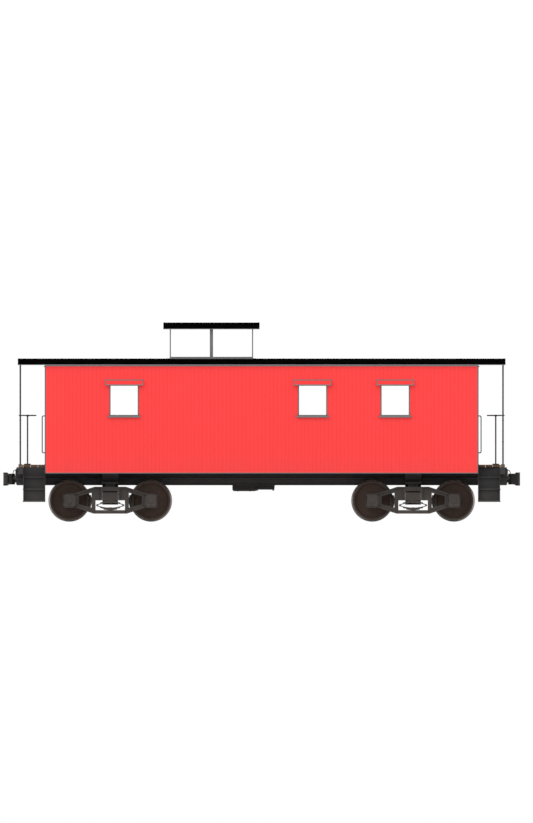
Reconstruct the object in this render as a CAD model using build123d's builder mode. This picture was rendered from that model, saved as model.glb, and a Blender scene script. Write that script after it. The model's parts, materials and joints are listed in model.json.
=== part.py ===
from build123d import *
import os

os.makedirs("parts", exist_ok=True)

# Eight-wheel caboose, in millimetres
# +X runs along the track, +Y is the left side, +Z is up, and z = 0 is at the flange tips

# Driving dimensions of the wheels and axles
tread_radius = 419.1
flange_height = 25.4
flange_width = 36.0
wheel_back_face = 676.5
rim_width = 140.0
rim_thickness = 52.0
plate_thickness = 45.0
hub_radius = 128.0
hub_length = 154.0
axle_seat_radius = 82.0
journal_radius = 62.0
journal_half_span = 1085.0
journal_clearance = 0.3

# Driving dimensions of the trucks
truck_centre = 3200.0
wheelbase = 1727.0
journal_centre = 978.0
frame_thickness = 120.0
frame_web = 45.0
frame_rib = 34.0
top_chord_height = 740.0
top_chord_half = 330.0
top_chord_drop = 15.0
lower_chord_depth = 75.0
lower_chord_half = 350.0
frame_window_inner = 395.0
frame_window_outer = 665.0
frame_window_high = 610.0
frame_window_low = 300.0
frame_window_taper = 70.0
box_width = 270.0
box_height = 300.0
box_corner = 45.0
box_inner_face = 850.0
box_wall = 40.0
box_end_gap = 10.0
box_lid = 18.0
box_lid_margin = 26.0
box_seal = 4.0
swivel_height = 680.0
centre_plate_radius = 150.0
centre_plate_height = 30.0
centre_bowl_depth = 20.0
centre_bowl_wall = 60.0
centre_bowl_play = 5.0
king_pin_radius = 24.0
king_pin_length = 120.0
bolster_half_width = 165.0
bolster_end_height = 170.0
bolster_belly = 90.0
bolster_belly_half = 400.0
bolster_seat_length = 330.0
column_play = 1.0
column_rib = 40.0
bolster_head_room = 24.0
spring_seat_height = 245.0
spring_height = 205.0
spring_room = 620.0
spring_leaf = 18.0
spring_leaves = 3
spring_half_length = 285.0
spring_breadth = 100.0
spring_eye = 24.0
shoe_gap = 8.0
shoe_thickness = 45.0
shoe_width = 84.0
shoe_height = 300.0
shoe_reach = 220.0
shoe_edge_margin = 30.0
brake_beam_drop = 30.0
brake_beam_width = 60.0
brake_beam_height = 70.0
brake_beam_inset = 16.0
brake_hanger = 26.0
brake_hanger_width = 40.0
brake_hanger_height = 260.0
brake_hanger_rise = 60.0
running_gap = 0.3

# Slim bars, pins and eyes are drawn with this many sides
bar_sides = 8

# Driving dimensions of the underframe
rail_top = flange_height
coupler_lift = 876.0
centre_sill_depth = 380.0
centre_sill_gap = 330.0
centre_sill_flange = 85.0
plate_steel = 13.0
floor_thickness = 55.0
side_sill_depth = 120.0
side_sill_width = 110.0
bolster_plate_width = 340.0
bolster_tip_depth = 150.0
jack_pad = 30.0
side_bearing_place = 635.0
side_bearing_width = 120.0
side_bearing_length = 220.0
side_bearing_height = 120.0
side_bearing_bottom = 800.0
side_bearing_play = 6.0
bearer_depth = 130.0
bearer_width = 90.0
bearer_places = [-1900.0, -700.0, 700.0, 1900.0]
end_sill_width = 100.0
end_sill_depth = 145.0
striker_half_width = 210.0
striker_reach = 40.0
shank_clearance = 14.0

# Driving dimensions of the body
body_length = 9144.0
body_width = 2870.0
side_height = 2294.0
sheathing_lift = 1000.0
floor_lift = 180.0
wall = 100.0
platform_length = 568.0

# Driving dimensions of the main roof
roof_end_overhang = 581.0
roof_side_overhang = 65.0
roof_rise = 93.0
roof_edge = 38.0

# Driving dimensions of the cupola
cupola_length = 1762.0
cupola_width = 2100.0
cupola_place = -1061.0
cupola_height = 625.0
cupola_wall = 24.0
cupola_rail = 34.0
cupola_centre_post = 68.0
cupola_end_post = 90.0
cupola_roof_overhang = 136.0
cupola_roof_rise = 75.0
cupola_roof_band = 136.0
cupola_roof_board = 35.0
fascia = 25.0

# Driving dimensions of the windows
window_centres = [-2906.0, 1077.0, 2822.0]
window_width = 624.0
window_height = 667.0
window_drop = 421.0
sash = 20.0
sash_depth = 50.0
sash_inset = 12.0
pane = 6.0
pane_rebate = 8.0
hood_width = 812.0
hood_height = 128.0
hood_reach = 110.0
hood_board = 14.0
hood_lip = 22.0
window_sill_width = 680.0
window_sill_height = 50.0
window_sill_reach = 55.0
window_sill_fall = 10.0

# Driving dimensions of the end doors
door_width = 760.0
door_height = 1980.0
door_thickness = 45.0
door_gap = 5.0
door_stop = 25.0
door_stop_lap = 12.0
door_light_width = 440.0
door_light_height = 620.0
door_light_top = 190.0
door_panel_height = 700.0
door_panel_bottom = 200.0
door_panel_recess = 10.0
hinge_radius = 11.0
hinge_pin_radius = 6.0
hinge_knuckle = 36.0
hinge_leaf = 6.0
hinge_reach = 60.0
hinge_heights = [260.0, 1700.0]
knob_radius = 26.0
knob_reach = 48.0
knob_height = 980.0
knob_inset = 70.0

# Driving dimensions of the platforms, steps and railings
step_inner = 930.0
step_treads = 3
step_lift = 420.0
step_riser = 6.0
step_plate = 12.0
step_plate_lap = 1.4
tread_depth = 230.0
tread_thickness = 28.0
railing_height = 960.0
railing_post = 34.0
railing_rod_radius = 14.0
railing_inset = 40.0
corner_post_place = 1330.0
gate_post_place = 340.0
grab_iron_radius = 11.0
grab_iron_reach = 65.0
grab_iron_length = 780.0
grab_iron_inset = 60.0
grab_iron_height = 250.0
brake_wheel_radius = 190.0
brake_rim = 26.0
brake_hub_radius = 38.0
brake_hub_height = 40.0
brake_spokes = 5
brake_spoke_width = 22.0
brake_spoke_thickness = 12.0
brake_staff_radius = 15.0
brake_staff_place = 620.0
brake_staff_setback = 193.0
brake_staff_rise = 80.0
brake_staff_drop = 60.0
brake_staff_play = 5.0
ratchet_size = 150.0
ratchet_height = 22.0

# Driving dimensions of the couplers
coupler_reach = 320.0
shank_length = 430.0
shank_width = 130.0
shank_height = 150.0
coupler_head_height = 230.0
coupler_head_length = 250.0
guard_arm_half = 215.0
jaw_depth = 130.0
jaw_half = 40.0
lug_thickness = 40.0
knuckle_height = 280.0
knuckle_lug = 62.0
knuckle_lug_play = 8.0
knuckle_pin_depth = 70.0
knuckle_pin_offset = 130.0
lever_radius = 12.0
lever_drop = 60.0
lever_start = 60.0
lever_bend = 1180.0
lever_end = 1300.0
lever_handle = 170.0
lever_bracket = 30.0
lever_bracket_height = 24.0
lever_bracket_places = [420.0, 1100.0]

# Driving dimensions of the air brake
cylinder_radius = 150.0
cylinder_length = 380.0
reservoir_radius = 178.0
reservoir_length = 520.0
reservoir_place = -620.0
brake_axis_place = 640.0
brake_axis_drop = 20.0
push_rod_radius = 22.0
push_rod_length = 240.0
carrier_width = 90.0
carrier_height = 40.0
hanger_width = 60.0
hanger_breadth = 160.0
brake_pipe_radius = 21.0
brake_pipe_place = -400.0
brake_pipe_lift = 20.0
brake_pipe_reach = 90.0
angle_cock_radius = 33.0
angle_cock_length = 110.0
cock_plug_radius = 20.0
cock_plug_length = 24.0
cock_handle_width = 24.0
cock_handle_length = 140.0
cock_handle_thickness = 8.0
cock_handle_top = 50.0

# Driving dimensions of what stands inside
aisle_half_width = 560.0
locker_height = 1250.0
locker_half_length = 780.0
seat_wall_gap = 18.0
seat_width = 380.0
seat_height = 420.0
seat_length = 540.0
seat_back_height = 546.0
seat_back_thickness = 70.0
seat_back_lean = 40.0
seat_spacing = 100.0
bench_height = 460.0
bench_depth = 520.0
bench_length = 2300.0
bench_end_gap = 1270.0
desk_length = 1000.0
desk_depth = 600.0
desk_height = 770.0
desk_top_thickness = 40.0
desk_leg = 50.0
desk_leg_inset = 5.0
desk_end_gap = 1066.0

# Heights and places that follow from the driving dimensions
axle_height = tread_radius + flange_height
sheathing_bottom = rail_top + sheathing_lift
coupler_height = rail_top + coupler_lift
step_bottom = rail_top + step_lift
flange_radius = tread_radius + flange_height
half_length = body_length / 2
half_width = body_width / 2
eaves = sheathing_bottom + side_height
roof_half_width = half_width + roof_side_overhang
roof_length = body_length + 2 * roof_end_overhang
roof_crown = eaves + roof_rise + roof_edge
floor_top = sheathing_bottom + floor_lift
floor_underside = floor_top - floor_thickness
inner_half_length = half_length - wall
inner_half_width = half_width - wall
platform_end = half_length + platform_length
coupler_face = platform_end + coupler_reach
cupola_base = roof_crown
cupola_top = cupola_base + cupola_height
cupola_half_length = cupola_length / 2
cupola_half_width = cupola_width / 2
cupola_roof_half_width = cupola_half_width + cupola_roof_overhang
cupola_roof_length = cupola_length + 2 * cupola_roof_overhang
cupola_roof_edge = cupola_top + cupola_roof_band - cupola_roof_rise
window_top = eaves - window_drop
window_bottom = window_top - window_height
window_middle = (window_top + window_bottom) / 2
hood_bottom = window_top - sash
window_sill_top = window_bottom + sash
centre_sill_bottom = floor_underside - centre_sill_depth
centre_sill_half = centre_sill_gap / 2 + plate_steel + centre_sill_flange
body_bolster_bottom = swivel_height + centre_plate_height
bearer_end = inner_half_width - side_sill_width
brake_pipe_height = coupler_height + brake_pipe_lift
brake_pipe_end = platform_end + brake_pipe_reach - angle_cock_length
pipe_way = 2 * (brake_pipe_radius + running_gap)
staff_way = 2 * (brake_staff_radius + brake_staff_play)


def long_plane(y):
    """A vertical plane along the car at the given y, with +X to its right and +Z up."""
    return Plane.XZ.offset(-y)


def arch_line(half_span, edge_height, rise):
    """A low arch across the car, from its right edge to its left one."""
    return ThreePointArc((-half_span, edge_height), (0, edge_height + rise), (half_span, edge_height))


def under_arch(half_span, edge_height, rise, reach):
    """Keep what lies under an arched soffit, in the part being built."""
    with BuildSketch(Plane.YZ) as below:
        with BuildLine():
            soffit = arch_line(half_span, edge_height, rise)
            Polyline(soffit @ 1, (half_span, 0), (-half_span, 0), soffit @ 0)
        make_face()
    extrude(below.sketch, amount=reach, both=True, mode=Mode.INTERSECT)


def under_main_roof():
    """Keep what lies under the main roof's soffit, in the part being built."""
    under_arch(roof_half_width, eaves, roof_rise, roof_length)


# Centre sill: two channels set back to back under a cover plate
with BuildPart() as centre_sill:
    with BuildSketch(Plane.YZ) as sill_section:
        for side in (-1, 1):
            web_y = side * (centre_sill_gap + plate_steel) / 2
            flange_y = side * (centre_sill_half - (centre_sill_flange + plate_steel) / 2)
            with Locations((web_y, floor_underside - centre_sill_depth / 2)):
                Rectangle(plate_steel, centre_sill_depth)
            with Locations((flange_y, centre_sill_bottom + plate_steel / 2)):
                Rectangle(centre_sill_flange + plate_steel, plate_steel)
        with Locations((0, floor_underside - plate_steel / 2)):
            Rectangle(2 * centre_sill_half, plate_steel)
    extrude(amount=platform_end - end_sill_width, both=True)
centre_sill.part.label = "centre_sill"
export_step(centre_sill.part, "parts/centre_sill.step")

# Side sills: channels inside the foot of the side walls
with BuildPart() as side_sills:
    with BuildSketch(Plane.YZ) as channel_section:
        for side in (-1, 1):
            channel_y = side * (inner_half_width - side_sill_width / 2)
            with Locations((channel_y, floor_underside - side_sill_depth / 2)):
                Rectangle(side_sill_width, side_sill_depth)
            with Locations((channel_y - side * plate_steel, floor_underside - side_sill_depth / 2)):
                Rectangle(side_sill_width, side_sill_depth - 2 * plate_steel, mode=Mode.SUBTRACT)
    extrude(amount=inner_half_length, both=True)
side_sills.part.label = "side_sills"
export_step(side_sills.part, "parts/side_sills.step")

# Body bolsters: arms that taper outwards, with side bearings, jacking pads, centre plate and king pin
with BuildPart() as body_bolsters:
    for end in (-1, 1):
        with BuildSketch(Plane.YZ.offset(end * truck_centre)) as bolster_face:
            with BuildLine():
                Polyline(
                    (-bearer_end, floor_underside),
                    (bearer_end, floor_underside),
                    (bearer_end, floor_underside - bolster_tip_depth),
                    (centre_sill_half, body_bolster_bottom),
                    (-centre_sill_half, body_bolster_bottom),
                    (-bearer_end, floor_underside - bolster_tip_depth),
                    close=True,
                )
            make_face()
            with Locations((0, floor_underside - centre_sill_depth / 2)):
                Rectangle(2 * centre_sill_half, centre_sill_depth, mode=Mode.SUBTRACT)
            for side in (-1, 1):
                with Locations((side * side_bearing_place, side_bearing_bottom + side_bearing_height / 2)):
                    Rectangle(side_bearing_width, side_bearing_height)
                pad_y = side * (bearer_end + side_sill_width / 2)
                with Locations((pad_y, floor_underside - side_sill_depth - jack_pad / 2)):
                    Rectangle(side_sill_width, jack_pad)
            with Locations((brake_pipe_place, brake_pipe_height)):
                Rectangle(pipe_way, pipe_way, mode=Mode.SUBTRACT)
        extrude(amount=bolster_plate_width / 2, both=True)
        with BuildSketch(Plane.XY.offset(swivel_height)) as centre_plate:
            with Locations((end * truck_centre, 0)):
                Circle(centre_plate_radius)
        extrude(amount=centre_plate_height)
        with BuildSketch(Plane.XY.offset(swivel_height - king_pin_length)) as king_pin:
            with Locations((end * truck_centre, 0)):
                Circle(king_pin_radius)
        extrude(amount=king_pin_length)
body_bolsters.part.label = "body_bolsters"
export_step(body_bolsters.part, "parts/body_bolsters.step")

# Cross bearers: channels from the centre sill out to each side sill
with BuildPart() as cross_bearers:
    for bearer_x in bearer_places:
        for side in (-1, 1):
            with BuildSketch(long_plane(side * centre_sill_half)) as bearer_section:
                with Locations((bearer_x, floor_underside - bearer_depth / 2)):
                    Rectangle(bearer_width, bearer_depth)
                with Locations((bearer_x + plate_steel, floor_underside - bearer_depth / 2)):
                    Rectangle(bearer_width, bearer_depth - 2 * plate_steel, mode=Mode.SUBTRACT)
            extrude(amount=-side * (bearer_end - centre_sill_half))
cross_bearers.part.label = "cross_bearers"
export_step(cross_bearers.part, "parts/cross_bearers.step")

# End sills: one under each end wall, and one at each platform's end with a striker round the coupler
with BuildPart() as body_end_sills:
    for end in (-1, 1):
        with BuildSketch(Plane.YZ.offset(end * inner_half_length)) as end_sill_face:
            with Locations((0, (floor_underside + sheathing_bottom) / 2)):
                Rectangle(2 * inner_half_width, floor_underside - sheathing_bottom)
                Rectangle(2 * centre_sill_half, floor_underside - sheathing_bottom, mode=Mode.SUBTRACT)
        extrude(amount=end * wall)
body_end_sills.part.label = "body_end_sills"
export_step(body_end_sills.part, "parts/body_end_sills.step")

with BuildPart() as platform_end_sills:
    for end in (-1, 1):
        sill_plane = Plane.YZ.offset(end * (platform_end - end_sill_width))
        with BuildSketch(sill_plane) as beam_face:
            with Locations((0, floor_underside - end_sill_depth / 2)):
                Rectangle(2 * half_width - 2 * railing_inset, end_sill_depth)
        extrude(amount=end * end_sill_width)
        with BuildSketch(sill_plane) as striker_face:
            with Locations((0, (floor_underside + centre_sill_bottom) / 2)):
                Rectangle(2 * striker_half_width, floor_underside - centre_sill_bottom)
        extrude(amount=end * (end_sill_width + striker_reach))
        with BuildSketch(sill_plane) as shank_way:
            with Locations((0, coupler_height + shank_clearance / 2)):
                Rectangle(shank_width + 2 * shank_clearance, shank_height + shank_clearance)
        extrude(amount=end * (end_sill_width + striker_reach), mode=Mode.SUBTRACT)
platform_end_sills.part.label = "platform_end_sills"
export_step(platform_end_sills.part, "parts/platform_end_sills.step")

# Floor boards inside, and the deck of each platform
with BuildPart() as floor:
    with BuildSketch(Plane.XY.offset(floor_underside)) as floor_plan:
        Rectangle(2 * inner_half_length, 2 * inner_half_width)
    extrude(amount=floor_thickness)
floor.part.label = "floor"
export_step(floor.part, "parts/floor.step")

brake_staff_x = platform_end - brake_staff_setback
with BuildPart() as platform_decks:
    for end in (-1, 1):
        with BuildSketch(Plane.XY.offset(floor_underside)) as deck_plan:
            with Locations((end * (half_length + platform_length / 2), 0)):
                Rectangle(platform_length, 2 * step_inner)
            with Locations((end * (platform_end - end_sill_width / 2), 0)):
                Rectangle(end_sill_width, 2 * half_width - 2 * railing_inset)
            with Locations((end * brake_staff_x, end * brake_staff_place)):
                Rectangle(staff_way, staff_way, mode=Mode.SUBTRACT)
        extrude(amount=floor_thickness)
platform_decks.part.label = "platform_decks"
export_step(platform_decks.part, "parts/platform_decks.step")

# Steps: four wells of three treads and their risers between side plates
step_rise = (floor_top - step_bottom) / step_treads
step_run = (half_width - step_inner - tread_depth) / (step_treads - 1)
step_outer_x = platform_end - end_sill_width
with BuildPart() as steps:
    for end in (-1, 1):
        for side in (-1, 1):
            for plate_x in (half_length, step_outer_x - step_plate):
                with BuildSketch(Plane.YZ.offset(end * plate_x)) as stringer_face:
                    with BuildLine():
                        Polyline(
                            (side * step_inner, floor_underside),
                            (side * (step_inner + tread_depth), floor_underside),
                            (side * half_width, step_bottom + step_plate_lap * step_rise),
                            (side * half_width, step_bottom - tread_thickness),
                            (side * (half_width - tread_depth), step_bottom - tread_thickness),
                            (side * step_inner, floor_underside - step_plate_lap * step_rise),
                            close=True,
                        )
                    make_face()
                extrude(amount=end * step_plate)
            for index in range(step_treads):
                tread_y = half_width - tread_depth / 2 - index * step_run
                tread_z = step_bottom + index * step_rise
                with BuildSketch(Plane.XY.offset(tread_z - tread_thickness)) as tread_plan:
                    with Locations((end * (half_length + step_outer_x) / 2, side * tread_y)):
                        Rectangle(step_outer_x - half_length, tread_depth)
                extrude(amount=tread_thickness)
                riser_y = half_width - tread_depth + step_riser / 2 - index * step_run
                riser_top = min(tread_z + step_rise - tread_thickness, floor_underside)
                with BuildSketch(Plane.XY.offset(tread_z)) as riser_plan:
                    with Locations((end * (half_length + step_outer_x) / 2, side * riser_y)):
                        Rectangle(step_outer_x - half_length, step_riser)
                extrude(amount=riser_top - tread_z)
steps.part.label = "steps"
export_step(steps.part, "parts/steps.step")

# Side walls with their window openings
for side_name, side in (("left", 1), ("right", -1)):
    with BuildPart() as side_wall:
        with BuildSketch(long_plane(side * inner_half_width)) as wall_face:
            with Locations((0, (sheathing_bottom + roof_crown) / 2)):
                Rectangle(body_length, roof_crown - sheathing_bottom)
            for window_x in window_centres:
                with Locations((window_x, window_middle)):
                    Rectangle(window_width, window_height, mode=Mode.SUBTRACT)
        extrude(amount=-side * wall)
        under_main_roof()
    side_wall.part.label = f"side_wall_{side_name}"
    export_step(side_wall.part, f"parts/side_wall_{side_name}.step")

# End walls with the doorway, the stops round it and the fixed half of each hinge
door_bottom = floor_top + door_gap
doorway_half = door_width / 2 + door_gap
door_stop_x = inner_half_length + door_thickness + door_gap
hinge_x = inner_half_length - hinge_radius
hinge_y = doorway_half
leaf_x = inner_half_length - hinge_leaf / 2
for end_name, end in (("front", 1), ("rear", -1)):
    with BuildPart() as end_wall:
        with BuildSketch(Plane.YZ.offset(end * inner_half_length)) as end_face:
            with Locations((0, (floor_underside + roof_crown) / 2)):
                Rectangle(2 * inner_half_width, roof_crown - floor_underside)
            with Locations((0, floor_top + door_height / 2 + door_gap)):
                Rectangle(2 * doorway_half, door_height + 2 * door_gap, mode=Mode.SUBTRACT)
        extrude(amount=end * wall)
        with BuildSketch(Plane.YZ.offset(end * door_stop_x)) as door_stops:
            with Locations((0, floor_top + door_height / 2 + door_gap)):
                Rectangle(2 * doorway_half, door_height + 2 * door_gap)
                Rectangle(door_width - 2 * door_stop_lap, door_height - 2 * door_stop_lap, mode=Mode.SUBTRACT)
        extrude(amount=end * door_stop)
        under_main_roof()
        for hinge_z in hinge_heights:
            knuckle_plane = Plane.XY.offset(door_bottom + hinge_z - hinge_knuckle - running_gap)
            with BuildSketch(knuckle_plane) as lower_knuckle:
                with Locations((end * hinge_x, end * hinge_y)):
                    RegularPolygon(hinge_radius, bar_sides)
                with Locations((end * leaf_x, end * (hinge_y + hinge_reach / 2))):
                    Rectangle(hinge_leaf, hinge_reach)
            extrude(amount=hinge_knuckle)
            with BuildSketch(knuckle_plane.offset(hinge_knuckle)) as hinge_pin:
                with Locations((end * hinge_x, end * hinge_y)):
                    RegularPolygon(hinge_pin_radius, bar_sides)
            extrude(amount=hinge_knuckle + running_gap)
    end_wall.part.label = f"end_wall_{end_name}"
    export_step(end_wall.part, f"parts/end_wall_{end_name}.step")

# End doors: leaf with a light over a sunk panel, moving half of each hinge, knob and pane
light_middle = door_bottom + door_height - door_light_top - door_light_height / 2
panel_middle = door_bottom + door_panel_bottom + door_panel_height / 2
for end_name, end in (("front", 1), ("rear", -1)):
    pane_plane = Plane.YZ.offset(end * (inner_half_length + (door_thickness - pane) / 2))
    with BuildPart() as door:
        with BuildSketch(Plane.YZ.offset(end * inner_half_length)) as leaf_face:
            with Locations((0, door_bottom + door_height / 2)):
                Rectangle(door_width, door_height)
            with Locations((0, light_middle)):
                Rectangle(door_light_width, door_light_height, mode=Mode.SUBTRACT)
        extrude(amount=end * door_thickness)
        with BuildSketch(pane_plane) as pane_groove:
            with Locations((0, light_middle)):
                Rectangle(door_light_width + 2 * pane_rebate, door_light_height + 2 * pane_rebate)
        extrude(amount=end * pane, mode=Mode.SUBTRACT)
        for recess_x in (inner_half_length, inner_half_length + door_thickness - door_panel_recess):
            with BuildSketch(Plane.YZ.offset(end * recess_x)) as panel_face:
                with Locations((0, panel_middle)):
                    Rectangle(door_light_width, door_panel_height)
            extrude(amount=end * door_panel_recess, mode=Mode.SUBTRACT)
        for hinge_z in hinge_heights:
            with BuildSketch(Plane.XY.offset(door_bottom + hinge_z)) as upper_knuckle:
                with Locations((end * hinge_x, end * hinge_y)):
                    RegularPolygon(hinge_radius, bar_sides)
                with Locations((end * leaf_x, end * (hinge_y - hinge_reach / 2))):
                    Rectangle(hinge_leaf, hinge_reach)
                with Locations((end * hinge_x, end * hinge_y)):
                    bore_apothem = hinge_pin_radius + running_gap
                    RegularPolygon(bore_apothem, bar_sides, major_radius=False, mode=Mode.SUBTRACT)
            extrude(amount=hinge_knuckle)
        with BuildSketch(Plane.YZ.offset(end * (inner_half_length + door_thickness))) as knob:
            with Locations((-end * (door_width / 2 - knob_inset), door_bottom + knob_height)):
                Circle(knob_radius)
        extrude(amount=end * knob_reach)
    door.part.label = f"door_{end_name}"
    export_step(door.part, f"parts/door_{end_name}.step")
    with BuildPart() as door_glass:
        with BuildSketch(pane_plane) as glass_face:
            with Locations((0, light_middle)):
                Rectangle(door_light_width + 2 * pane_rebate, door_light_height + 2 * pane_rebate)
        extrude(amount=end * pane)
    door_glass.part.label = f"door_glass_{end_name}"
    export_step(door_glass.part, f"parts/door_glass_{end_name}.step")

# Main roof: a low arch with a curb that carries the cupola
with BuildPart() as roof:
    with BuildSketch(Plane.YZ) as roof_section:
        with BuildLine():
            soffit = arch_line(roof_half_width, eaves, roof_rise)
            Line(soffit @ 1, (roof_half_width, eaves + roof_edge))
            crown = arch_line(roof_half_width, eaves + roof_edge, roof_rise)
            Line(crown @ 0, soffit @ 0)
        make_face()
    extrude(amount=roof_length / 2, both=True)
    with BuildSketch(Plane.YZ.offset(cupola_place)) as curb_section:
        with Locations((0, (eaves + roof_crown) / 2)):
            Rectangle(cupola_width, roof_crown - eaves)
        with BuildLine():
            curb_soffit = arch_line(roof_half_width, eaves, roof_rise)
            Line(curb_soffit @ 1, curb_soffit @ 0)
        make_face(mode=Mode.SUBTRACT)
    extrude(amount=cupola_half_length, both=True)
    with BuildSketch(Plane.XY.offset(eaves)) as cupola_hatch:
        with Locations((cupola_place, 0)):
            Rectangle(cupola_length - 2 * cupola_wall, cupola_width - 2 * cupola_wall)
    extrude(amount=roof_crown - eaves, mode=Mode.SUBTRACT)
roof.part.label = "roof"
export_step(roof.part, "parts/roof.step")

# Cupola frame: four thin glazed sides between rails and posts
side_light_width = (cupola_length - 2 * cupola_wall - cupola_centre_post) / 2
side_light_offset = (side_light_width + cupola_centre_post) / 2
end_light_width = (cupola_width - 3 * cupola_end_post) / 2
end_light_offset = (end_light_width + cupola_end_post) / 2
light_height = cupola_height - cupola_rail
light_middle_z = cupola_base + cupola_rail + light_height / 2
with BuildPart() as cupola_frame:
    with BuildSketch(Plane.XY.offset(cupola_base)) as cupola_plan:
        with Locations((cupola_place, 0)):
            Rectangle(cupola_length, cupola_width)
            Rectangle(cupola_length - 2 * cupola_wall, cupola_width - 2 * cupola_wall, mode=Mode.SUBTRACT)
    extrude(amount=cupola_height + cupola_roof_band)
    with BuildSketch(Plane.XZ) as side_lights:
        for offset_x in (-side_light_offset, side_light_offset):
            with Locations((cupola_place + offset_x, light_middle_z)):
                Rectangle(side_light_width, light_height)
    extrude(amount=cupola_width, both=True, mode=Mode.SUBTRACT)
    with BuildSketch(Plane.YZ.offset(cupola_place)) as end_lights:
        for offset_y in (-end_light_offset, end_light_offset):
            with Locations((offset_y, light_middle_z)):
                Rectangle(end_light_width, light_height)
    extrude(amount=cupola_length, both=True, mode=Mode.SUBTRACT)
    under_arch(cupola_roof_half_width, cupola_roof_edge - cupola_roof_board, cupola_roof_rise, roof_length)
cupola_frame.part.label = "cupola_frame"
export_step(cupola_frame.part, "parts/cupola_frame.step")

# Cupola glass: a pane in each light, in the middle of the frame's thickness
with BuildPart() as cupola_glass:
    for side in (-1, 1):
        with BuildSketch(long_plane(side * (cupola_half_width - (cupola_wall + pane) / 2))) as side_panes:
            for offset_x in (-side_light_offset, side_light_offset):
                with Locations((cupola_place + offset_x, light_middle_z)):
                    Rectangle(side_light_width, light_height)
        extrude(amount=-side * pane)
    for end in (-1, 1):
        pane_x = cupola_place + end * (cupola_half_length - (cupola_wall - pane) / 2)
        with BuildSketch(Plane.YZ.offset(pane_x)) as end_panes:
            for offset_y in (-end_light_offset, end_light_offset):
                with Locations((offset_y, light_middle_z)):
                    Rectangle(end_light_width, light_height)
        extrude(amount=-end * pane)
cupola_glass.part.label = "cupola_glass"
export_step(cupola_glass.part, "parts/cupola_glass.step")

# Cupola roof: an arched board inside a fascia
with BuildPart() as cupola_roof:
    with BuildSketch(Plane.YZ.offset(cupola_place)) as cupola_roof_section:
        with BuildLine():
            top = arch_line(cupola_roof_half_width, cupola_roof_edge, cupola_roof_rise)
            Polyline(
                top @ 1, (cupola_roof_half_width, cupola_top), (-cupola_roof_half_width, cupola_top), top @ 0
            )
        make_face()
    extrude(amount=cupola_roof_length / 2, both=True)
    board_under = cupola_roof_edge - cupola_roof_board
    with BuildSketch(Plane.YZ.offset(cupola_place)) as cupola_roof_hollow:
        with BuildLine():
            soffit = arch_line(cupola_roof_half_width, board_under, cupola_roof_rise)
            right_foot = (cupola_roof_half_width, cupola_top)
            Polyline(soffit @ 1, right_foot, (-cupola_roof_half_width, cupola_top), soffit @ 0)
        make_face()
        with Locations((0, cupola_top + cupola_roof_band / 2)):
            Rectangle(2 * (cupola_roof_half_width - fascia), cupola_roof_band, mode=Mode.INTERSECT)
    extrude(amount=cupola_roof_length / 2 - fascia, both=True, mode=Mode.SUBTRACT)
cupola_roof.part.label = "cupola_roof"
export_step(cupola_roof.part, "parts/cupola_roof.step")

# Windows: sash, pane, hood and sill at each opening on both sides
sash_face = half_width - sash_inset
groove_width = window_width - 2 * sash + 2 * pane_rebate
groove_height = window_height - 2 * sash + 2 * pane_rebate
with BuildPart() as window_sashes:
    for side in (-1, 1):
        with BuildSketch(long_plane(side * (sash_face - sash_depth))) as sash_outline:
            for window_x in window_centres:
                with Locations((window_x, window_middle)):
                    Rectangle(window_width, window_height)
                    Rectangle(window_width - 2 * sash, window_height - 2 * sash, mode=Mode.SUBTRACT)
        extrude(amount=-side * sash_depth)
        with BuildSketch(long_plane(side * (sash_face - (sash_depth + pane) / 2))) as sash_groove:
            for window_x in window_centres:
                with Locations((window_x, window_middle)):
                    Rectangle(groove_width, groove_height)
        extrude(amount=-side * pane, mode=Mode.SUBTRACT)
window_sashes.part.label = "window_sashes"
export_step(window_sashes.part, "parts/window_sashes.step")

with BuildPart() as window_glass:
    for side in (-1, 1):
        with BuildSketch(long_plane(side * (sash_face - (sash_depth + pane) / 2))) as pane_outline:
            for window_x in window_centres:
                with Locations((window_x, window_middle)):
                    Rectangle(groove_width, groove_height)
        extrude(amount=-side * pane)
window_glass.part.label = "window_glass"
export_step(window_glass.part, "parts/window_glass.step")

with BuildPart() as window_hoods:
    for side in (-1, 1):
        for window_x in window_centres:
            for inset, half_span in ((0.0, hood_width / 2), (hood_board, hood_width / 2 - hood_board)):
                with BuildSketch(Plane.YZ.offset(window_x)) as hood_section:
                    with BuildLine():
                        Polyline(
                            (side * half_width, hood_bottom),
                            (side * half_width, hood_bottom + hood_height - 1.4 * inset),
                            (side * (half_width + hood_reach - inset), hood_bottom + hood_lip - 0.6 * inset),
                            (side * (half_width + hood_reach - inset), hood_bottom),
                            close=True,
                        )
                    make_face()
                extrude(amount=half_span, both=True, mode=Mode.SUBTRACT if inset else Mode.ADD)
window_hoods.part.label = "window_hoods"
export_step(window_hoods.part, "parts/window_hoods.step")

with BuildPart() as window_sills:
    for side in (-1, 1):
        for window_x in window_centres:
            with BuildSketch(Plane.YZ.offset(window_x)) as sill_profile:
                with BuildLine():
                    Polyline(
                        (side * half_width, window_sill_top),
                        (side * (half_width + window_sill_reach), window_sill_top - window_sill_fall),
                        (side * (half_width + window_sill_reach), window_sill_top - window_sill_height),
                        (side * half_width, window_sill_top - window_sill_height),
                        close=True,
                    )
                make_face()
            extrude(amount=window_sill_width / 2, both=True)
window_sills.part.label = "window_sills"
export_step(window_sills.part, "parts/window_sills.step")

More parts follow.
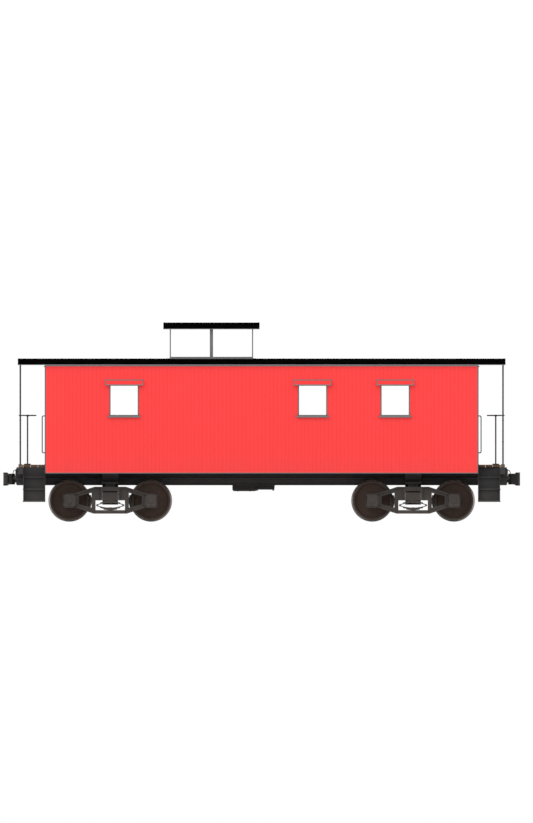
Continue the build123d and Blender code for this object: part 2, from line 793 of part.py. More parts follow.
# End railings: corner posts up to the roof, gate posts and two rails on each half
railing_x = platform_end - railing_inset
rail_span = corner_post_place - gate_post_place - railing_post
with BuildPart() as end_railings:
    for end in (-1, 1):
        for side in (-1, 1):
            with BuildSketch(Plane.XY.offset(floor_top)) as corner_post:
                with Locations((end * railing_x, side * corner_post_place)):
                    Rectangle(railing_post, railing_post)
            extrude(amount=roof_crown - floor_top)
            with BuildSketch(Plane.XY.offset(floor_top)) as gate_post:
                with Locations((end * railing_x, side * gate_post_place)):
                    Rectangle(railing_post, railing_post)
            extrude(amount=railing_height)
            with BuildSketch(long_plane(side * (gate_post_place + railing_post / 2))) as rails:
                for rail_height in (railing_height / 2, railing_height - 2 * railing_rod_radius):
                    with Locations((end * railing_x, floor_top + rail_height)):
                        RegularPolygon(railing_rod_radius, bar_sides)
            extrude(amount=-side * rail_span)
    under_main_roof()
end_railings.part.label = "end_railings"
export_step(end_railings.part, "parts/end_railings.step")

# Grab irons on the end walls, beside the steps, with mitred corners
grab_iron_y = inner_half_width - grab_iron_inset
grab_iron_low = floor_top + grab_iron_height
with BuildPart() as grab_irons:
    for end in (-1, 1):
        for side in (-1, 1):
            outer_x = end * (half_length + grab_iron_reach)
            with BuildLine() as grab_path:
                Polyline(
                    (end * half_length, side * grab_iron_y, grab_iron_low),
                    (outer_x, side * grab_iron_y, grab_iron_low),
                    (outer_x, side * grab_iron_y, grab_iron_low + grab_iron_length),
                    (end * half_length, side * grab_iron_y, grab_iron_low + grab_iron_length),
                )
            with BuildSketch(Plane.YZ.offset(end * half_length)) as grab_section:
                with Locations((side * grab_iron_y, grab_iron_low)):
                    RegularPolygon(grab_iron_radius, bar_sides)
            sweep(path=grab_path.wires()[0], transition=Transition.RIGHT)
grab_irons.part.label = "grab_irons"
export_step(grab_irons.part, "parts/grab_irons.step")

# Hand brakes: a staff through the deck and a ratchet, with a spoked wheel on top
staff_top = floor_top + railing_height + brake_staff_rise
staff_foot = floor_underside - brake_staff_drop
with BuildPart() as hand_brakes:
    for end in (-1, 1):
        staff = Plane((end * brake_staff_x, end * brake_staff_place, staff_foot))
        wheel_plane = staff.offset(staff_top - staff_foot)
        with BuildSketch(staff) as staff_section:
            RegularPolygon(brake_staff_radius, bar_sides)
        extrude(amount=staff_top - staff_foot)
        with BuildSketch(staff.offset(floor_top - staff_foot)) as ratchet:
            Rectangle(ratchet_size, ratchet_size)
        extrude(amount=ratchet_height)
        with BuildSketch(wheel_plane.offset(-brake_hub_height / 2)) as wheel_hub:
            RegularPolygon(brake_hub_radius, bar_sides)
        extrude(amount=brake_hub_height)
        with BuildSketch(wheel_plane.offset(-brake_spoke_thickness / 2)) as spokes:
            with PolarLocations((brake_wheel_radius - brake_rim / 2) / 2, brake_spokes):
                Rectangle(brake_wheel_radius - brake_rim / 2, brake_spoke_width)
        extrude(amount=brake_spoke_thickness)
        with BuildSketch(wheel_plane.offset(-brake_rim / 2)) as rim_plan:
            Circle(brake_wheel_radius)
            Circle(brake_wheel_radius - brake_rim, mode=Mode.SUBTRACT)
        extrude(amount=brake_rim)
hand_brakes.part.label = "hand_brakes"
export_step(hand_brakes.part, "parts/hand_brakes.step")

# Outlines of the coupler's head and of its knuckle, seen from above
# Each point is a distance behind the pulling face and a distance to the knuckle's side
head_outline = [
    (coupler_head_length, -shank_width / 2),
    (0.74 * coupler_head_length, -0.7 * guard_arm_half),
    (0.16 * coupler_head_length, -guard_arm_half),
    (0.02 * coupler_head_length, -0.95 * guard_arm_half),
    (0.08 * coupler_head_length, -0.77 * guard_arm_half),
    (0.73 * jaw_depth, -0.44 * guard_arm_half),
    (jaw_depth, -jaw_half),
    (jaw_depth, 0.35 * guard_arm_half),
    (jaw_depth, 0.88 * guard_arm_half),
    (0.74 * coupler_head_length, 0.79 * guard_arm_half),
    (coupler_head_length, shank_width / 2),
]
knuckle_nose = [
    (0.05 * jaw_depth, knuckle_pin_offset + 20),
    (0.0, 0.85 * knuckle_pin_offset),
    (0.0, 0.35 * knuckle_pin_offset),
    (0.2 * jaw_depth, 0.0),
    (0.54 * jaw_depth, 0.0),
    (0.65 * jaw_depth, 0.23 * knuckle_pin_offset),
    (0.54 * jaw_depth, 0.5 * knuckle_pin_offset),
    (0.06 * jaw_depth, 0.5 * knuckle_pin_offset),
]
knuckle_arm = [
    (0.54 * jaw_depth, 1.42 * knuckle_pin_offset),
    (0.23 * jaw_depth, 1.38 * knuckle_pin_offset),
    (0.05 * jaw_depth, knuckle_pin_offset + 20),
    (0.03 * jaw_depth, 0.46 * knuckle_pin_offset),
    (0.54 * jaw_depth, 0.46 * knuckle_pin_offset),
    (0.69 * jaw_depth, 0.69 * knuckle_pin_offset),
]


def draw_outline(points):
    """A closed face from points given as depth behind the pulling face and side offset."""
    with BuildLine() as outline:
        Polyline(*[(-depth, offset) for depth, offset in points], close=True)
    make_face(outline.edges())


# Couplers: shank through the striker, head with its guard arm, and the knuckle's two lugs
with BuildPart() as couplers:
    for end in (-1, 1):
        head_plane = Plane((end * coupler_face, 0, coupler_height), x_dir=(end, 0, 0))
        with BuildSketch(head_plane.offset(-shank_height / 2)) as shank_plan:
            with Locations((-coupler_head_length + shank_width / 2 - shank_length / 2, 0)):
                Rectangle(shank_length, shank_width)
        extrude(amount=shank_height)
        with BuildSketch(head_plane.offset(-coupler_head_height / 2)) as head_plan:
            draw_outline(head_outline)
        extrude(amount=coupler_head_height)
        for lug_base in (-coupler_head_height / 2, coupler_head_height / 2 - lug_thickness):
            with BuildSketch(head_plane.offset(lug_base)) as lug_plan:
                with Locations((-knuckle_pin_depth, knuckle_pin_offset)):
                    Circle(knuckle_lug)
                with Locations((-knuckle_pin_depth - knuckle_lug / 2, knuckle_pin_offset)):
                    Rectangle(knuckle_lug, 2 * knuckle_lug)
            extrude(amount=lug_thickness)
couplers.part.label = "couplers"
export_step(couplers.part, "parts/couplers.step")

knuckle_hub_height = coupler_head_height - 2 * lug_thickness
with BuildPart() as knuckles:
    for end in (-1, 1):
        head_plane = Plane((end * coupler_face, 0, coupler_height), x_dir=(end, 0, 0))
        with BuildSketch(head_plane.offset(-knuckle_hub_height / 2)) as hub_plan:
            with Locations((-knuckle_pin_depth, knuckle_pin_offset)):
                Circle(knuckle_lug - knuckle_lug_play)
            draw_outline(knuckle_arm)
        extrude(amount=knuckle_hub_height)
        with BuildSketch(head_plane.offset(-knuckle_height / 2)) as nose_plan:
            draw_outline(knuckle_nose)
        extrude(amount=knuckle_height)
knuckles.part.label = "knuckles"
export_step(knuckles.part, "parts/knuckles.step")

# Uncoupling levers along the platform end sills, each with a handle bent down at the car's side
lever_x = platform_end + lever_radius + striker_reach
lever_height = floor_underside - lever_drop
with BuildPart() as uncoupling_levers:
    for end in (-1, 1):
        with BuildLine() as lever_path:
            Polyline(
                (end * lever_x, end * lever_start, lever_height),
                (end * lever_x, end * lever_bend, lever_height),
                (end * lever_x, end * lever_end, lever_height - lever_handle),
            )
        lever_plane = Plane((end * lever_x, end * lever_start, lever_height), z_dir=(0, end, 0))
        with BuildSketch(lever_plane) as lever_section:
            RegularPolygon(lever_radius, bar_sides)
        sweep(path=lever_path.wires()[0], transition=Transition.RIGHT)
        for bracket_y in lever_bracket_places:
            with BuildSketch(long_plane(end * bracket_y - lever_bracket / 2)) as bracket_face:
                with Locations((end * (platform_end + lever_x) / 2, lever_height)):
                    Rectangle(lever_x - platform_end, lever_bracket_height)
            extrude(amount=-lever_bracket)
uncoupling_levers.part.label = "uncoupling_levers"
export_step(uncoupling_levers.part, "parts/uncoupling_levers.step")

# Brake cylinder with its reservoir behind it, on a carrier hung from the two middle bearers
bearer_bottom = floor_underside - bearer_depth
brake_axis_z = bearer_bottom - brake_axis_drop - reservoir_radius
middle_bearers = bearer_places[1:3]
carrier_length = middle_bearers[1] - middle_bearers[0] + hanger_width
with BuildPart() as brake_cylinder:
    turned_parts = (
        (reservoir_place, reservoir_radius, reservoir_length),
        (reservoir_place + reservoir_length, cylinder_radius, cylinder_length),
        (reservoir_place + reservoir_length + cylinder_length, push_rod_radius, push_rod_length),
    )
    for start_x, radius, length in turned_parts:
        with BuildSketch(Plane.YZ.offset(start_x)) as turned_face:
            with Locations((brake_axis_place, brake_axis_z)):
                Circle(radius)
        extrude(amount=length)
    with BuildSketch(Plane.XY.offset(brake_axis_z)) as hanger_plan:
        for hanger_x in middle_bearers:
            with Locations((hanger_x, brake_axis_place)):
                Rectangle(hanger_width, hanger_breadth)
    extrude(amount=bearer_bottom - brake_axis_z)
    with BuildSketch(Plane.XY.offset(brake_axis_z - carrier_height / 2)) as carrier_plan:
        with Locations(((middle_bearers[0] + middle_bearers[1]) / 2, brake_axis_place)):
            Rectangle(carrier_length, carrier_width)
    extrude(amount=carrier_height)
brake_cylinder.part.label = "brake_cylinder"
export_step(brake_cylinder.part, "parts/brake_cylinder.step")

# Brake pipe through both body bolsters, and the closed and plugged angle cock at each of its ends
with BuildPart() as brake_pipe:
    with BuildSketch(Plane.YZ) as pipe_section:
        with Locations((brake_pipe_place, brake_pipe_height)):
            Circle(brake_pipe_radius)
    extrude(amount=brake_pipe_end, both=True)
brake_pipe.part.label = "brake_pipe"
export_step(brake_pipe.part, "parts/brake_pipe.step")

with BuildPart() as angle_cocks:
    for end in (-1, 1):
        cock_middle = (end * (brake_pipe_end + angle_cock_length / 2), brake_pipe_place)
        for start, length, radius, sides, turn in (
            (0, angle_cock_length, angle_cock_radius, bar_sides, 0),
            (angle_cock_length, cock_plug_length, cock_plug_radius, 4, 45),
        ):
            with BuildSketch(Plane.YZ.offset(end * (brake_pipe_end + start))) as cock_section:
                with Locations((brake_pipe_place, brake_pipe_height)):
                    RegularPolygon(radius, sides, rotation=turn)
            extrude(amount=end * length)
        with BuildSketch(Plane.XY.offset(brake_pipe_height)) as cock_stem:
            with Locations(cock_middle):
                Rectangle(cock_handle_width, cock_handle_width)
        extrude(amount=cock_handle_top)
        with BuildSketch(Plane.XY.offset(brake_pipe_height + cock_handle_top)) as cock_handle:
            with Locations(cock_middle):
                Rectangle(cock_handle_width, cock_handle_length, align=(Align.CENTER, Align.MAX))
        extrude(amount=-cock_handle_thickness)
angle_cocks.part.label = "angle_cocks"
export_step(angle_cocks.part, "parts/angle_cocks.step")

# Inside: lockers under the cupola with two seats on each, side benches and a desk
with BuildPart() as cupola_lockers:
    for side in (-1, 1):
        with BuildSketch(long_plane(side * aisle_half_width)) as locker_face:
            with Locations((cupola_place, floor_top + locker_height / 2)):
                Rectangle(2 * locker_half_length, locker_height)
        extrude(amount=-side * (inner_half_width - aisle_half_width))
cupola_lockers.part.label = "cupola_lockers"
export_step(cupola_lockers.part, "parts/cupola_lockers.step")

seat_inner = cupola_half_width - cupola_wall - seat_wall_gap - seat_width
seat_base = floor_top + locker_height
seat_top = seat_base + seat_height + seat_back_height
with BuildPart() as cupola_seats:
    for side in (-1, 1):
        for facing in (-1, 1):
            back_x = cupola_place + facing * (seat_spacing / 2 + seat_length)
            with BuildSketch(long_plane(side * seat_inner)) as seat_face:
                with BuildLine():
                    Polyline(
                        (back_x - facing * seat_length, seat_base),
                        (back_x - facing * seat_length, seat_base + seat_height),
                        (back_x, seat_base + seat_height),
                        (back_x + facing * seat_back_lean, seat_top),
                        (back_x + facing * (seat_back_lean + seat_back_thickness), seat_top),
                        (back_x + facing * seat_back_thickness, seat_base),
                        close=True,
                    )
                make_face()
            extrude(amount=-side * seat_width)
cupola_seats.part.label = "cupola_seats"
export_step(cupola_seats.part, "parts/cupola_seats.step")

bench_x = inner_half_length - bench_end_gap - bench_length / 2
with BuildPart() as benches:
    for side in (-1, 1):
        with BuildSketch(long_plane(side * (inner_half_width - bench_depth))) as bench_face:
            with Locations((bench_x, floor_top + bench_height / 2)):
                Rectangle(bench_length, bench_height)
        extrude(amount=-side * bench_depth)
benches.part.label = "benches"
export_step(benches.part, "parts/benches.step")

desk_x = -inner_half_length + desk_end_gap + desk_length / 2
desk_y = -inner_half_width + desk_depth / 2
with BuildPart() as desk:
    with BuildSketch(Plane.XY.offset(floor_top + desk_height - desk_top_thickness)) as desk_top:
        with Locations((desk_x, desk_y)):
            Rectangle(desk_length, desk_depth)
    extrude(amount=desk_top_thickness)
    with BuildSketch(Plane.XY.offset(floor_top)) as desk_legs:
        for end in (-1, 1):
            with Locations((desk_x + end * (desk_length - desk_leg - desk_leg_inset) / 2, desk_y)):
                Rectangle(desk_leg, desk_depth - desk_leg)
    extrude(amount=desk_height - desk_top_thickness)
desk.part.label = "desk"
export_step(desk.part, "parts/desk.step")

# Trucks: cast side frames with their journal boxes, bolster, elliptic springs and brakes
half_base = wheelbase / 2
box_bottom = axle_height - box_height / 2
box_top = axle_height + box_height / 2
box_end_inside = journal_half_span + box_end_gap
box_outer_face = box_end_inside + box_wall
journal_room = 2 * (journal_radius + journal_clearance)
bolster_seat = spring_seat_height + spring_height
lower_chord = spring_seat_height - lower_chord_depth
shoe_place = wheel_back_face + (rim_width + shoe_edge_margin) / 2
shoe_inner = half_base - tread_radius - shoe_gap - shoe_thickness
hanger_end = journal_centre - frame_web / 2
leaf_arch = spring_height / 2 - spring_leaf * spring_leaves
bow_radius = (spring_half_length**2 + leaf_arch**2) / (2 * leaf_arch)


def draw_frame_outline(truck_x):
    """The outer outline of a side frame between and round its two journal boxes."""
    box_near = half_base - box_width / 2
    box_far = half_base + box_width / 2
    upper = [(box_near, box_top + top_chord_drop), (top_chord_half, top_chord_height)]
    box_end = [(box_near, box_bottom), (box_far, box_bottom), (box_far, box_top)]
    right = [(lower_chord_half, lower_chord)] + box_end + upper
    left = [(-x, z) for x, z in reversed(right)]
    with BuildLine() as outline:
        Polyline(*[(truck_x + x, z) for x, z in right + left], close=True)
    make_face(outline.edges())


def cut_frame_openings(truck_x):
    """Cut the bolster's column way, the spring's room and the two windows from a side frame's sketch."""
    with Locations((truck_x, spring_seat_height + spring_height / 2)):
        Rectangle(spring_room, spring_height, mode=Mode.SUBTRACT)
    way_height = bolster_end_height + bolster_head_room
    with Locations((truck_x, bolster_seat + way_height / 2)):
        Rectangle(2 * (bolster_half_width + column_play), way_height, mode=Mode.SUBTRACT)
    for end in (-1, 1):
        with BuildLine() as window_outline:
            Polyline(
                (truck_x + end * frame_window_inner, frame_window_low),
                (truck_x + end * frame_window_inner, frame_window_high),
                (truck_x + end * frame_window_outer, frame_window_high - frame_window_taper),
                (truck_x + end * frame_window_outer, frame_window_low + frame_window_taper),
                close=True,
            )
        make_face(window_outline.edges(), mode=Mode.SUBTRACT)


for truck_name, truck_x in (("front", truck_centre), ("rear", -truck_centre)):
    # Side frames: a web with openings, flanges round its edge and boxes that hold the journals
    with BuildPart() as side_frames:
        for side in (-1, 1):
            with BuildSketch(long_plane(side * (journal_centre - frame_web / 2))) as frame_web_face:
                draw_frame_outline(truck_x)
                cut_frame_openings(truck_x)
            extrude(amount=-side * frame_web)
            with BuildSketch(long_plane(side * (journal_centre - frame_thickness / 2))) as frame_flanges:
                draw_frame_outline(truck_x)
                offset(amount=-frame_rib, kind=Kind.INTERSECTION, mode=Mode.SUBTRACT)
                with Locations((truck_x, (bolster_seat + top_chord_height) / 2)):
                    Rectangle(2 * (bolster_half_width + column_rib), top_chord_height - bolster_seat)
                with Locations((truck_x, (lower_chord + spring_seat_height) / 2)):
                    Rectangle(spring_room, lower_chord_depth)
                cut_frame_openings(truck_x)
            extrude(amount=-side * frame_thickness)
            with BuildSketch(long_plane(side * box_inner_face)) as box_face:
                with Locations((truck_x - half_base, axle_height), (truck_x + half_base, axle_height)):
                    Rectangle(box_width, box_height)
                chamfer(box_face.vertices(), length=box_corner)
            extrude(amount=-side * (box_outer_face - box_inner_face))
            with BuildSketch(long_plane(side * box_outer_face)) as lid_face:
                with Locations((truck_x - half_base, axle_height), (truck_x + half_base, axle_height)):
                    Rectangle(box_width - 2 * box_lid_margin, box_height - 2 * box_lid_margin)
            extrude(amount=-side * box_lid)
            with BuildSketch(long_plane(side * box_inner_face)) as journal_way:
                with Locations((truck_x - half_base, axle_height), (truck_x + half_base, axle_height)):
                    Rectangle(journal_room, journal_room)
            extrude(amount=-side * (box_end_inside - box_inner_face), mode=Mode.SUBTRACT)
    side_frames.part.label = f"truck_{truck_name}_side_frames"
    export_step(side_frames.part, f"parts/truck_{truck_name}_side_frames.step")

    # Bolster: a beam between the side frames, with the centre bowl and two side bearings on top
    with BuildPart() as truck_bolster:
        bolster_reach = journal_centre + frame_thickness / 2
        bowl_half = centre_plate_radius + centre_bowl_wall
        swivel_plane = swivel_height - running_gap
        with BuildSketch(Plane.YZ.offset(truck_x)) as bolster_profile:
            with BuildLine():
                Polyline(
                    (-bolster_reach, bolster_seat),
                    (-bolster_reach, bolster_seat + bolster_end_height),
                    (-bowl_half, swivel_plane + centre_bowl_depth),
                    (bowl_half, swivel_plane + centre_bowl_depth),
                    (bolster_reach, bolster_seat + bolster_end_height),
                    (bolster_reach, bolster_seat),
                    (bolster_reach - bolster_seat_length, bolster_seat),
                    (bolster_belly_half, bolster_seat - bolster_belly),
                    (-bolster_belly_half, bolster_seat - bolster_belly),
                    (-bolster_reach + bolster_seat_length, bolster_seat),
                    close=True,
                )
            make_face()
        extrude(amount=bolster_half_width, both=True)
        with BuildSketch(Plane.XY.offset(swivel_plane)) as centre_bowl:
            with Locations((truck_x, 0)):
                Circle(centre_plate_radius + centre_bowl_play)
        extrude(amount=centre_bowl_depth, mode=Mode.SUBTRACT)
        with BuildSketch(Plane.XY.offset(bolster_seat - bolster_belly)) as pin_way:
            with Locations((truck_x, 0)):
                Circle(king_pin_radius + running_gap)
        extrude(amount=swivel_plane - bolster_seat + bolster_belly, mode=Mode.SUBTRACT)
        with BuildSketch(Plane.XY.offset(bolster_seat + bolster_end_height / 2)) as side_bearings:
            for side in (-1, 1):
                with Locations((truck_x, side * side_bearing_place)):
                    Rectangle(side_bearing_length, side_bearing_width)
        extrude(amount=side_bearing_bottom - side_bearing_play - bolster_seat - bolster_end_height / 2)
    truck_bolster.part.label = f"truck_{truck_name}_bolster"
    export_step(truck_bolster.part, f"parts/truck_{truck_name}_bolster.step")

    # Springs: two bows of leaves that meet in an eye at each end
    with BuildPart() as springs:
        middle_z = spring_seat_height + spring_height / 2
        for side in (-1, 1):
            with BuildSketch(long_plane(side * (journal_centre - spring_breadth / 2))) as spring_face:
                for flip in (-1, 1):
                    centre_z = middle_z + flip * (leaf_arch - bow_radius)
                    for leaf in range(spring_leaves):
                        reach = spring_half_length * (1 - leaf / (spring_leaves + 1))
                        inner = bow_radius + leaf * spring_leaf
                        outer = inner + spring_leaf
                        inner_z = centre_z + flip * (inner**2 - reach**2) ** 0.5
                        outer_z = centre_z + flip * (outer**2 - reach**2) ** 0.5
                        left_x = truck_x - reach
                        right_x = truck_x + reach
                        with BuildLine():
                            for radius, tip_z in ((outer, outer_z), (inner, inner_z)):
                                crown = (truck_x, centre_z + flip * radius)
                                ThreePointArc((left_x, tip_z), crown, (right_x, tip_z))
                            Line((left_x, outer_z), (left_x, inner_z))
                            Line((right_x, outer_z), (right_x, inner_z))
                        make_face()
                for end in (-1, 1):
                    with Locations((truck_x + end * (spring_half_length - spring_leaf / 2), middle_z)):
                        RegularPolygon(spring_eye, bar_sides)
            extrude(amount=-side * spring_breadth)
    springs.part.label = f"truck_{truck_name}_springs"
    export_step(springs.part, f"parts/truck_{truck_name}_springs.step")

    # Brakes: a beam across the truck inside each axle, a shoe at each wheel and its hanger
    with BuildPart() as truck_brakes:
        for end in (-1, 1):
            with BuildSketch(long_plane(-shoe_place)) as beam_section:
                beam_x = truck_x + end * (shoe_inner - brake_beam_inset)
                with Locations((beam_x, axle_height - brake_beam_drop)):
                    Rectangle(brake_beam_width, brake_beam_height)
            extrude(amount=-2 * shoe_place)
            for side in (-1, 1):
                with BuildSketch(long_plane(side * (shoe_place - shoe_width / 2))) as shoe_face:
                    with Locations((truck_x + end * half_base, axle_height)):
                        Circle(tread_radius + shoe_gap + shoe_thickness)
                        Circle(tread_radius + shoe_gap, mode=Mode.SUBTRACT)
                    with Locations((truck_x + end * shoe_inner, axle_height - brake_beam_drop)):
                        Rectangle(shoe_reach, shoe_height, mode=Mode.INTERSECT)
                extrude(amount=-side * shoe_width)
                hanger_x = truck_x + end * (shoe_inner - 2 * brake_beam_inset)
                with BuildSketch(long_plane(side * (shoe_place - brake_hanger_width / 2))) as hanger_face:
                    with Locations((hanger_x, axle_height + brake_hanger_rise)):
                        Rectangle(brake_hanger, brake_hanger_height)
                extrude(amount=-side * (hanger_end - shoe_place + brake_hanger_width / 2))
    truck_brakes.part.label = f"truck_{truck_name}_brakes"
    export_step(truck_brakes.part, f"parts/truck_{truck_name}_brakes.step")

# Wheelsets: two dished wheels pressed on an axle that ends in a journal at each side
rim_face = wheel_back_face + rim_width
hub_face = wheel_back_face + hub_length
wheel_profile = [
    (wheel_back_face, axle_seat_radius),
    (wheel_back_face, flange_radius),
    (wheel_back_face + flange_width, tread_radius),
    (rim_face, tread_radius),
    (rim_face, tread_radius - rim_thickness),
    (wheel_back_face + plate_thickness, tread_radius - rim_thickness),
    (wheel_back_face + plate_thickness, hub_radius),
    (hub_face, hub_radius),
    (hub_face, axle_seat_radius),
]
axle_profile = [
    (0.0, axle_seat_radius),
    (box_inner_face - box_seal, axle_seat_radius),
    (box_inner_face - box_seal, journal_radius),
    (journal_half_span, journal_radius),
    (journal_half_span, 0.0),
    (0.0, 0.0),
]


def turn_profile(profile, side, wheelset_x):
    """Turn a profile of distances from the car's middle and radii about an axle's line."""
    with BuildSketch(Plane.YZ.offset(wheelset_x)) as turned_section:
        with BuildLine():
            Polyline(*[(side * y, axle_height + radius) for y, radius in profile], close=True)
        make_face()
    revolve(turned_section.sketch, axis=Axis((wheelset_x, 0, axle_height), (0, 1, 0)))


wheelset_places = []
for truck_x in (truck_centre, -truck_centre):
    wheelset_places.extend((truck_x + half_base, truck_x - half_base))
for index, wheelset_x in enumerate(wheelset_places, start=1):
    with BuildPart() as wheels:
        for side in (-1, 1):
            turn_profile(wheel_profile, side, wheelset_x)
    wheels.part.label = f"wheels_{index}"
    export_step(wheels.part, f"parts/wheels_{index}.step")
    with BuildPart() as axle:
        for side in (-1, 1):
            turn_profile(axle_profile, side, wheelset_x)
    axle.part.label = f"axle_{index}"
    export_step(axle.part, f"parts/axle_{index}.step")
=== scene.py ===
import json
import math

import bmesh
import bpy
from bpy.props import FloatProperty, FloatVectorProperty, IntProperty, PointerProperty
from bpy.types import Operator, Panel, PropertyGroup
from mathutils import Matrix, Vector
from mathutils.geometry import interpolate_bezier


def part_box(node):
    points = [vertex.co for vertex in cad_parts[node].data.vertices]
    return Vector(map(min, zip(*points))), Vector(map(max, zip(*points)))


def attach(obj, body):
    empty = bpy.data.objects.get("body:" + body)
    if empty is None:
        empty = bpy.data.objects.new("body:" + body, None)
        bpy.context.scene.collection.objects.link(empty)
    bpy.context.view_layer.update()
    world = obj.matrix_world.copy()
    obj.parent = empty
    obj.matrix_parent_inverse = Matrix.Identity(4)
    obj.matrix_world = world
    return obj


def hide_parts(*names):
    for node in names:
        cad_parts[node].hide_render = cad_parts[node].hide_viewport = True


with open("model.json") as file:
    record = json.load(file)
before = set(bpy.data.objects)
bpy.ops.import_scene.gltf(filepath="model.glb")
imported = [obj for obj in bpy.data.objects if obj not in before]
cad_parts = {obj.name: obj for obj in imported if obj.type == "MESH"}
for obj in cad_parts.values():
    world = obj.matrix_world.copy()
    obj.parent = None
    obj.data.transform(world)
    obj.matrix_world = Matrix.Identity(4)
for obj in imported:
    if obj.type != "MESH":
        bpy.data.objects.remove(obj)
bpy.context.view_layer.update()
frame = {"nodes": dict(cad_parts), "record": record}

bl_info = {
    "name": "Eight-wheel caboose",
    "version": (1, 1, 0),
    "blender": (4, 5, 0),
    "location": "View3D > Sidebar > Caboose",
    "description": "Dresses the caboose's frame with boards, castings, wheels, fittings and finishes",
    "category": "Object",
}


def middle_of(node):
    """The middle of a node's box in the frame."""
    low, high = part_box(node)
    return (low + high) / 2


FULL_TURN = 2 * math.pi
X, Y, Z = Vector((1, 0, 0)), Vector((0, 1, 0)), Vector((0, 0, 1))
# Right and left or rear and front, and all four corners
SIDES = (-1, 1)
CORNERS = [(end, side) for end in SIDES for side in SIDES]
WHEELSETS = range(1, 5)
NODE_BODY = {n: body for body, nodes in frame["record"]["behaviour"]["bodies"].items() for n in nodes}
NODE_SLOT = {row["node"]: row["material_slot"] for row in frame["record"]["subparts"]}

# Places that the frame gives, in metres
FLOOR_UNDERSIDE, FLOOR_TOP = (corner.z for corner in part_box("floor"))
INSIDE_X, INSIDE_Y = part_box("floor")[1].xy
BODY_X, BODY_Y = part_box("side_wall_left")[1].xy
BODY_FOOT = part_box("side_wall_left")[0].z
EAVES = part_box("roof")[0].z
AXLE_HEIGHT = middle_of("axle_1").z
TRUCK_PLACES = {end: middle_of(f"truck_{end}_bolster").x for end in ("front", "rear")}

# Middles of the side windows along the car
WINDOW_PLACES = (-2.906, 1.077, 2.822)

# How deep fittings sink into what carries them
SUNK = 0.001

# The materials by name, and the colour of track dust
FINISHES = {}
DUST = (0.16, 0.13, 0.10)


# Sizes and colours that a user may change


def length(name, description, default):
    return FloatProperty(name=name, description=description, default=default, min=0.0, unit="LENGTH",
                         subtype="DISTANCE", precision=4)


def colour(name, description, default):
    return FloatVectorProperty(name=name, description=description, default=default, size=3, min=0.0,
                               max=1.0, subtype="COLOR")


class CabooseSizes(PropertyGroup):
    board_pitch: length("Board pitch", "Width of one tongue-and-groove board of the body", 0.0831)
    groove_width: length("Groove width", "Width of the groove between two boards", 0.006)
    groove_depth: length("Groove depth", "Depth of the groove between two boards", 0.003)
    plank_width: length("Plank width", "Width of one plank of the floor and the platforms", 0.14)
    plank_gap: length("Plank gap", "Gap between two planks", 0.004)
    edge_round: length("Edge round", "Round on the edges of sawn and rolled pieces", 0.003)
    casting_round: length("Casting round", "Round on the edges of castings", 0.006)
    corner_trim: length("Corner trim", "Width of the grey strips at the body's corners", 0.012)
    corner_proud: length("Corner reach", "How far the corner strips stand out past the body's ends", 0.009)
    frieze: length("Frieze", "Height of the grey board under the eaves", 0.035)
    hood_edging: length("Hood edging", "Width of the grey edging round each hood", 0.024)
    roof_edge: length("Roof edge", "Thickness of the main roof at its edges", 0.038)
    seam_pitch: length("Seam pitch", "Distance between the seams of the roof covering", 0.93)
    rivet_pitch: length("Rivet pitch", "Distance between two rivets of the underframe", 0.16)
    door_width: length("Door width", "Width of an end door", 0.76)
    door_height: length("Door height", "Height of an end door", 1.98)
    door_thickness: length("Door thickness", "Thickness of an end door", 0.045)
    railing_height: length("Railing height", "Height of the platform railings", 0.96)
    cushion_swell: length("Cushion swell", "The most that stuffing pushes a cushion's cover out", 0.022)
    wheel_steps: IntProperty(name="Wheel steps", description="Faces round each wheel", default=96, min=24)


class CabooseColours(PropertyGroup):
    body_red: colour("Body red", "Paint of the body's boards", (0.975, 0.057, 0.057))
    roof_black: colour("Roof black", "Tarred canvas of both roofs", (0.0012, 0.0012, 0.0012))
    trim_grey: colour("Trim grey", "Paint of sashes, sills and trim", (0.185, 0.185, 0.185))
    # Painted light: a lighter copy of the trim grey that offsets the shade under the eaves on the frieze and
    # the drip edges
    frieze_grey_painted_light: colour("Frieze grey", "Paint of the frieze and the drip edges", (0.265, 0.265, 0.265))
    frame_black: colour("Frame black", "Paint of steel under and round the body", (0.030, 0.030, 0.032))
    cast_black: colour("Cast black", "Paint of castings", (0.036, 0.034, 0.033))
    wheel_brown: colour("Wheel brown", "Rust and brake dust on the wheels", (0.085, 0.058, 0.045))
    tread_steel: colour("Tread steel", "Bare steel where the wheels roll", (0.42, 0.41, 0.40))
    deck_wood: colour("Deck wood", "Oiled planks of floor and platforms", (0.17, 0.105, 0.058))
    inside_paint: colour("Inside paint", "Painted boards inside the body", (0.52, 0.44, 0.29))
    leather: colour("Leather", "Covers of the seats", (0.085, 0.030, 0.016))


# Mesh tools


def mesh_of(bm, name):
    """A new mesh with all that a bmesh holds; the bmesh is then freed."""
    mesh = bpy.data.meshes.new(name)
    bm.to_mesh(mesh)
    bm.free()
    return mesh


def added(name, data):
    """A new object in the scene."""
    obj = bpy.data.objects.new(name, data)
    bpy.context.scene.collection.objects.link(obj)
    return obj


def finished(bm, name, slot, replaces=(), body="car", looks=(), crease=35.0, weighted=False, tidy=True):
    """Makes the bmesh an object at the origin that rides on a body; its finish is its slot's unless given."""
    if tidy:
        bmesh.ops.recalc_face_normals(bm, faces=bm.faces)
    mesh = mesh_of(bm, name)
    for look in looks or (slot,):
        mesh.materials.append(FINISHES[look])
    if "custom_normal" in mesh.attributes:
        mesh.attributes.remove(mesh.attributes["custom_normal"])
    mesh.shade_smooth()
    mesh.set_sharp_from_angle(angle=math.radians(crease))
    obj = added(name, mesh)
    if weighted:
        obj.modifiers.new("even normals", "WEIGHTED_NORMAL").keep_sharp = True
    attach(obj, body)
    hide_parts(*replaces)


def bevelled(bm, verts, width, segments):
    """Rounds every edge at some vertices."""
    edges = list({e for v in verts for e in v.link_edges})
    round_edges(bm, edges, width, segments)


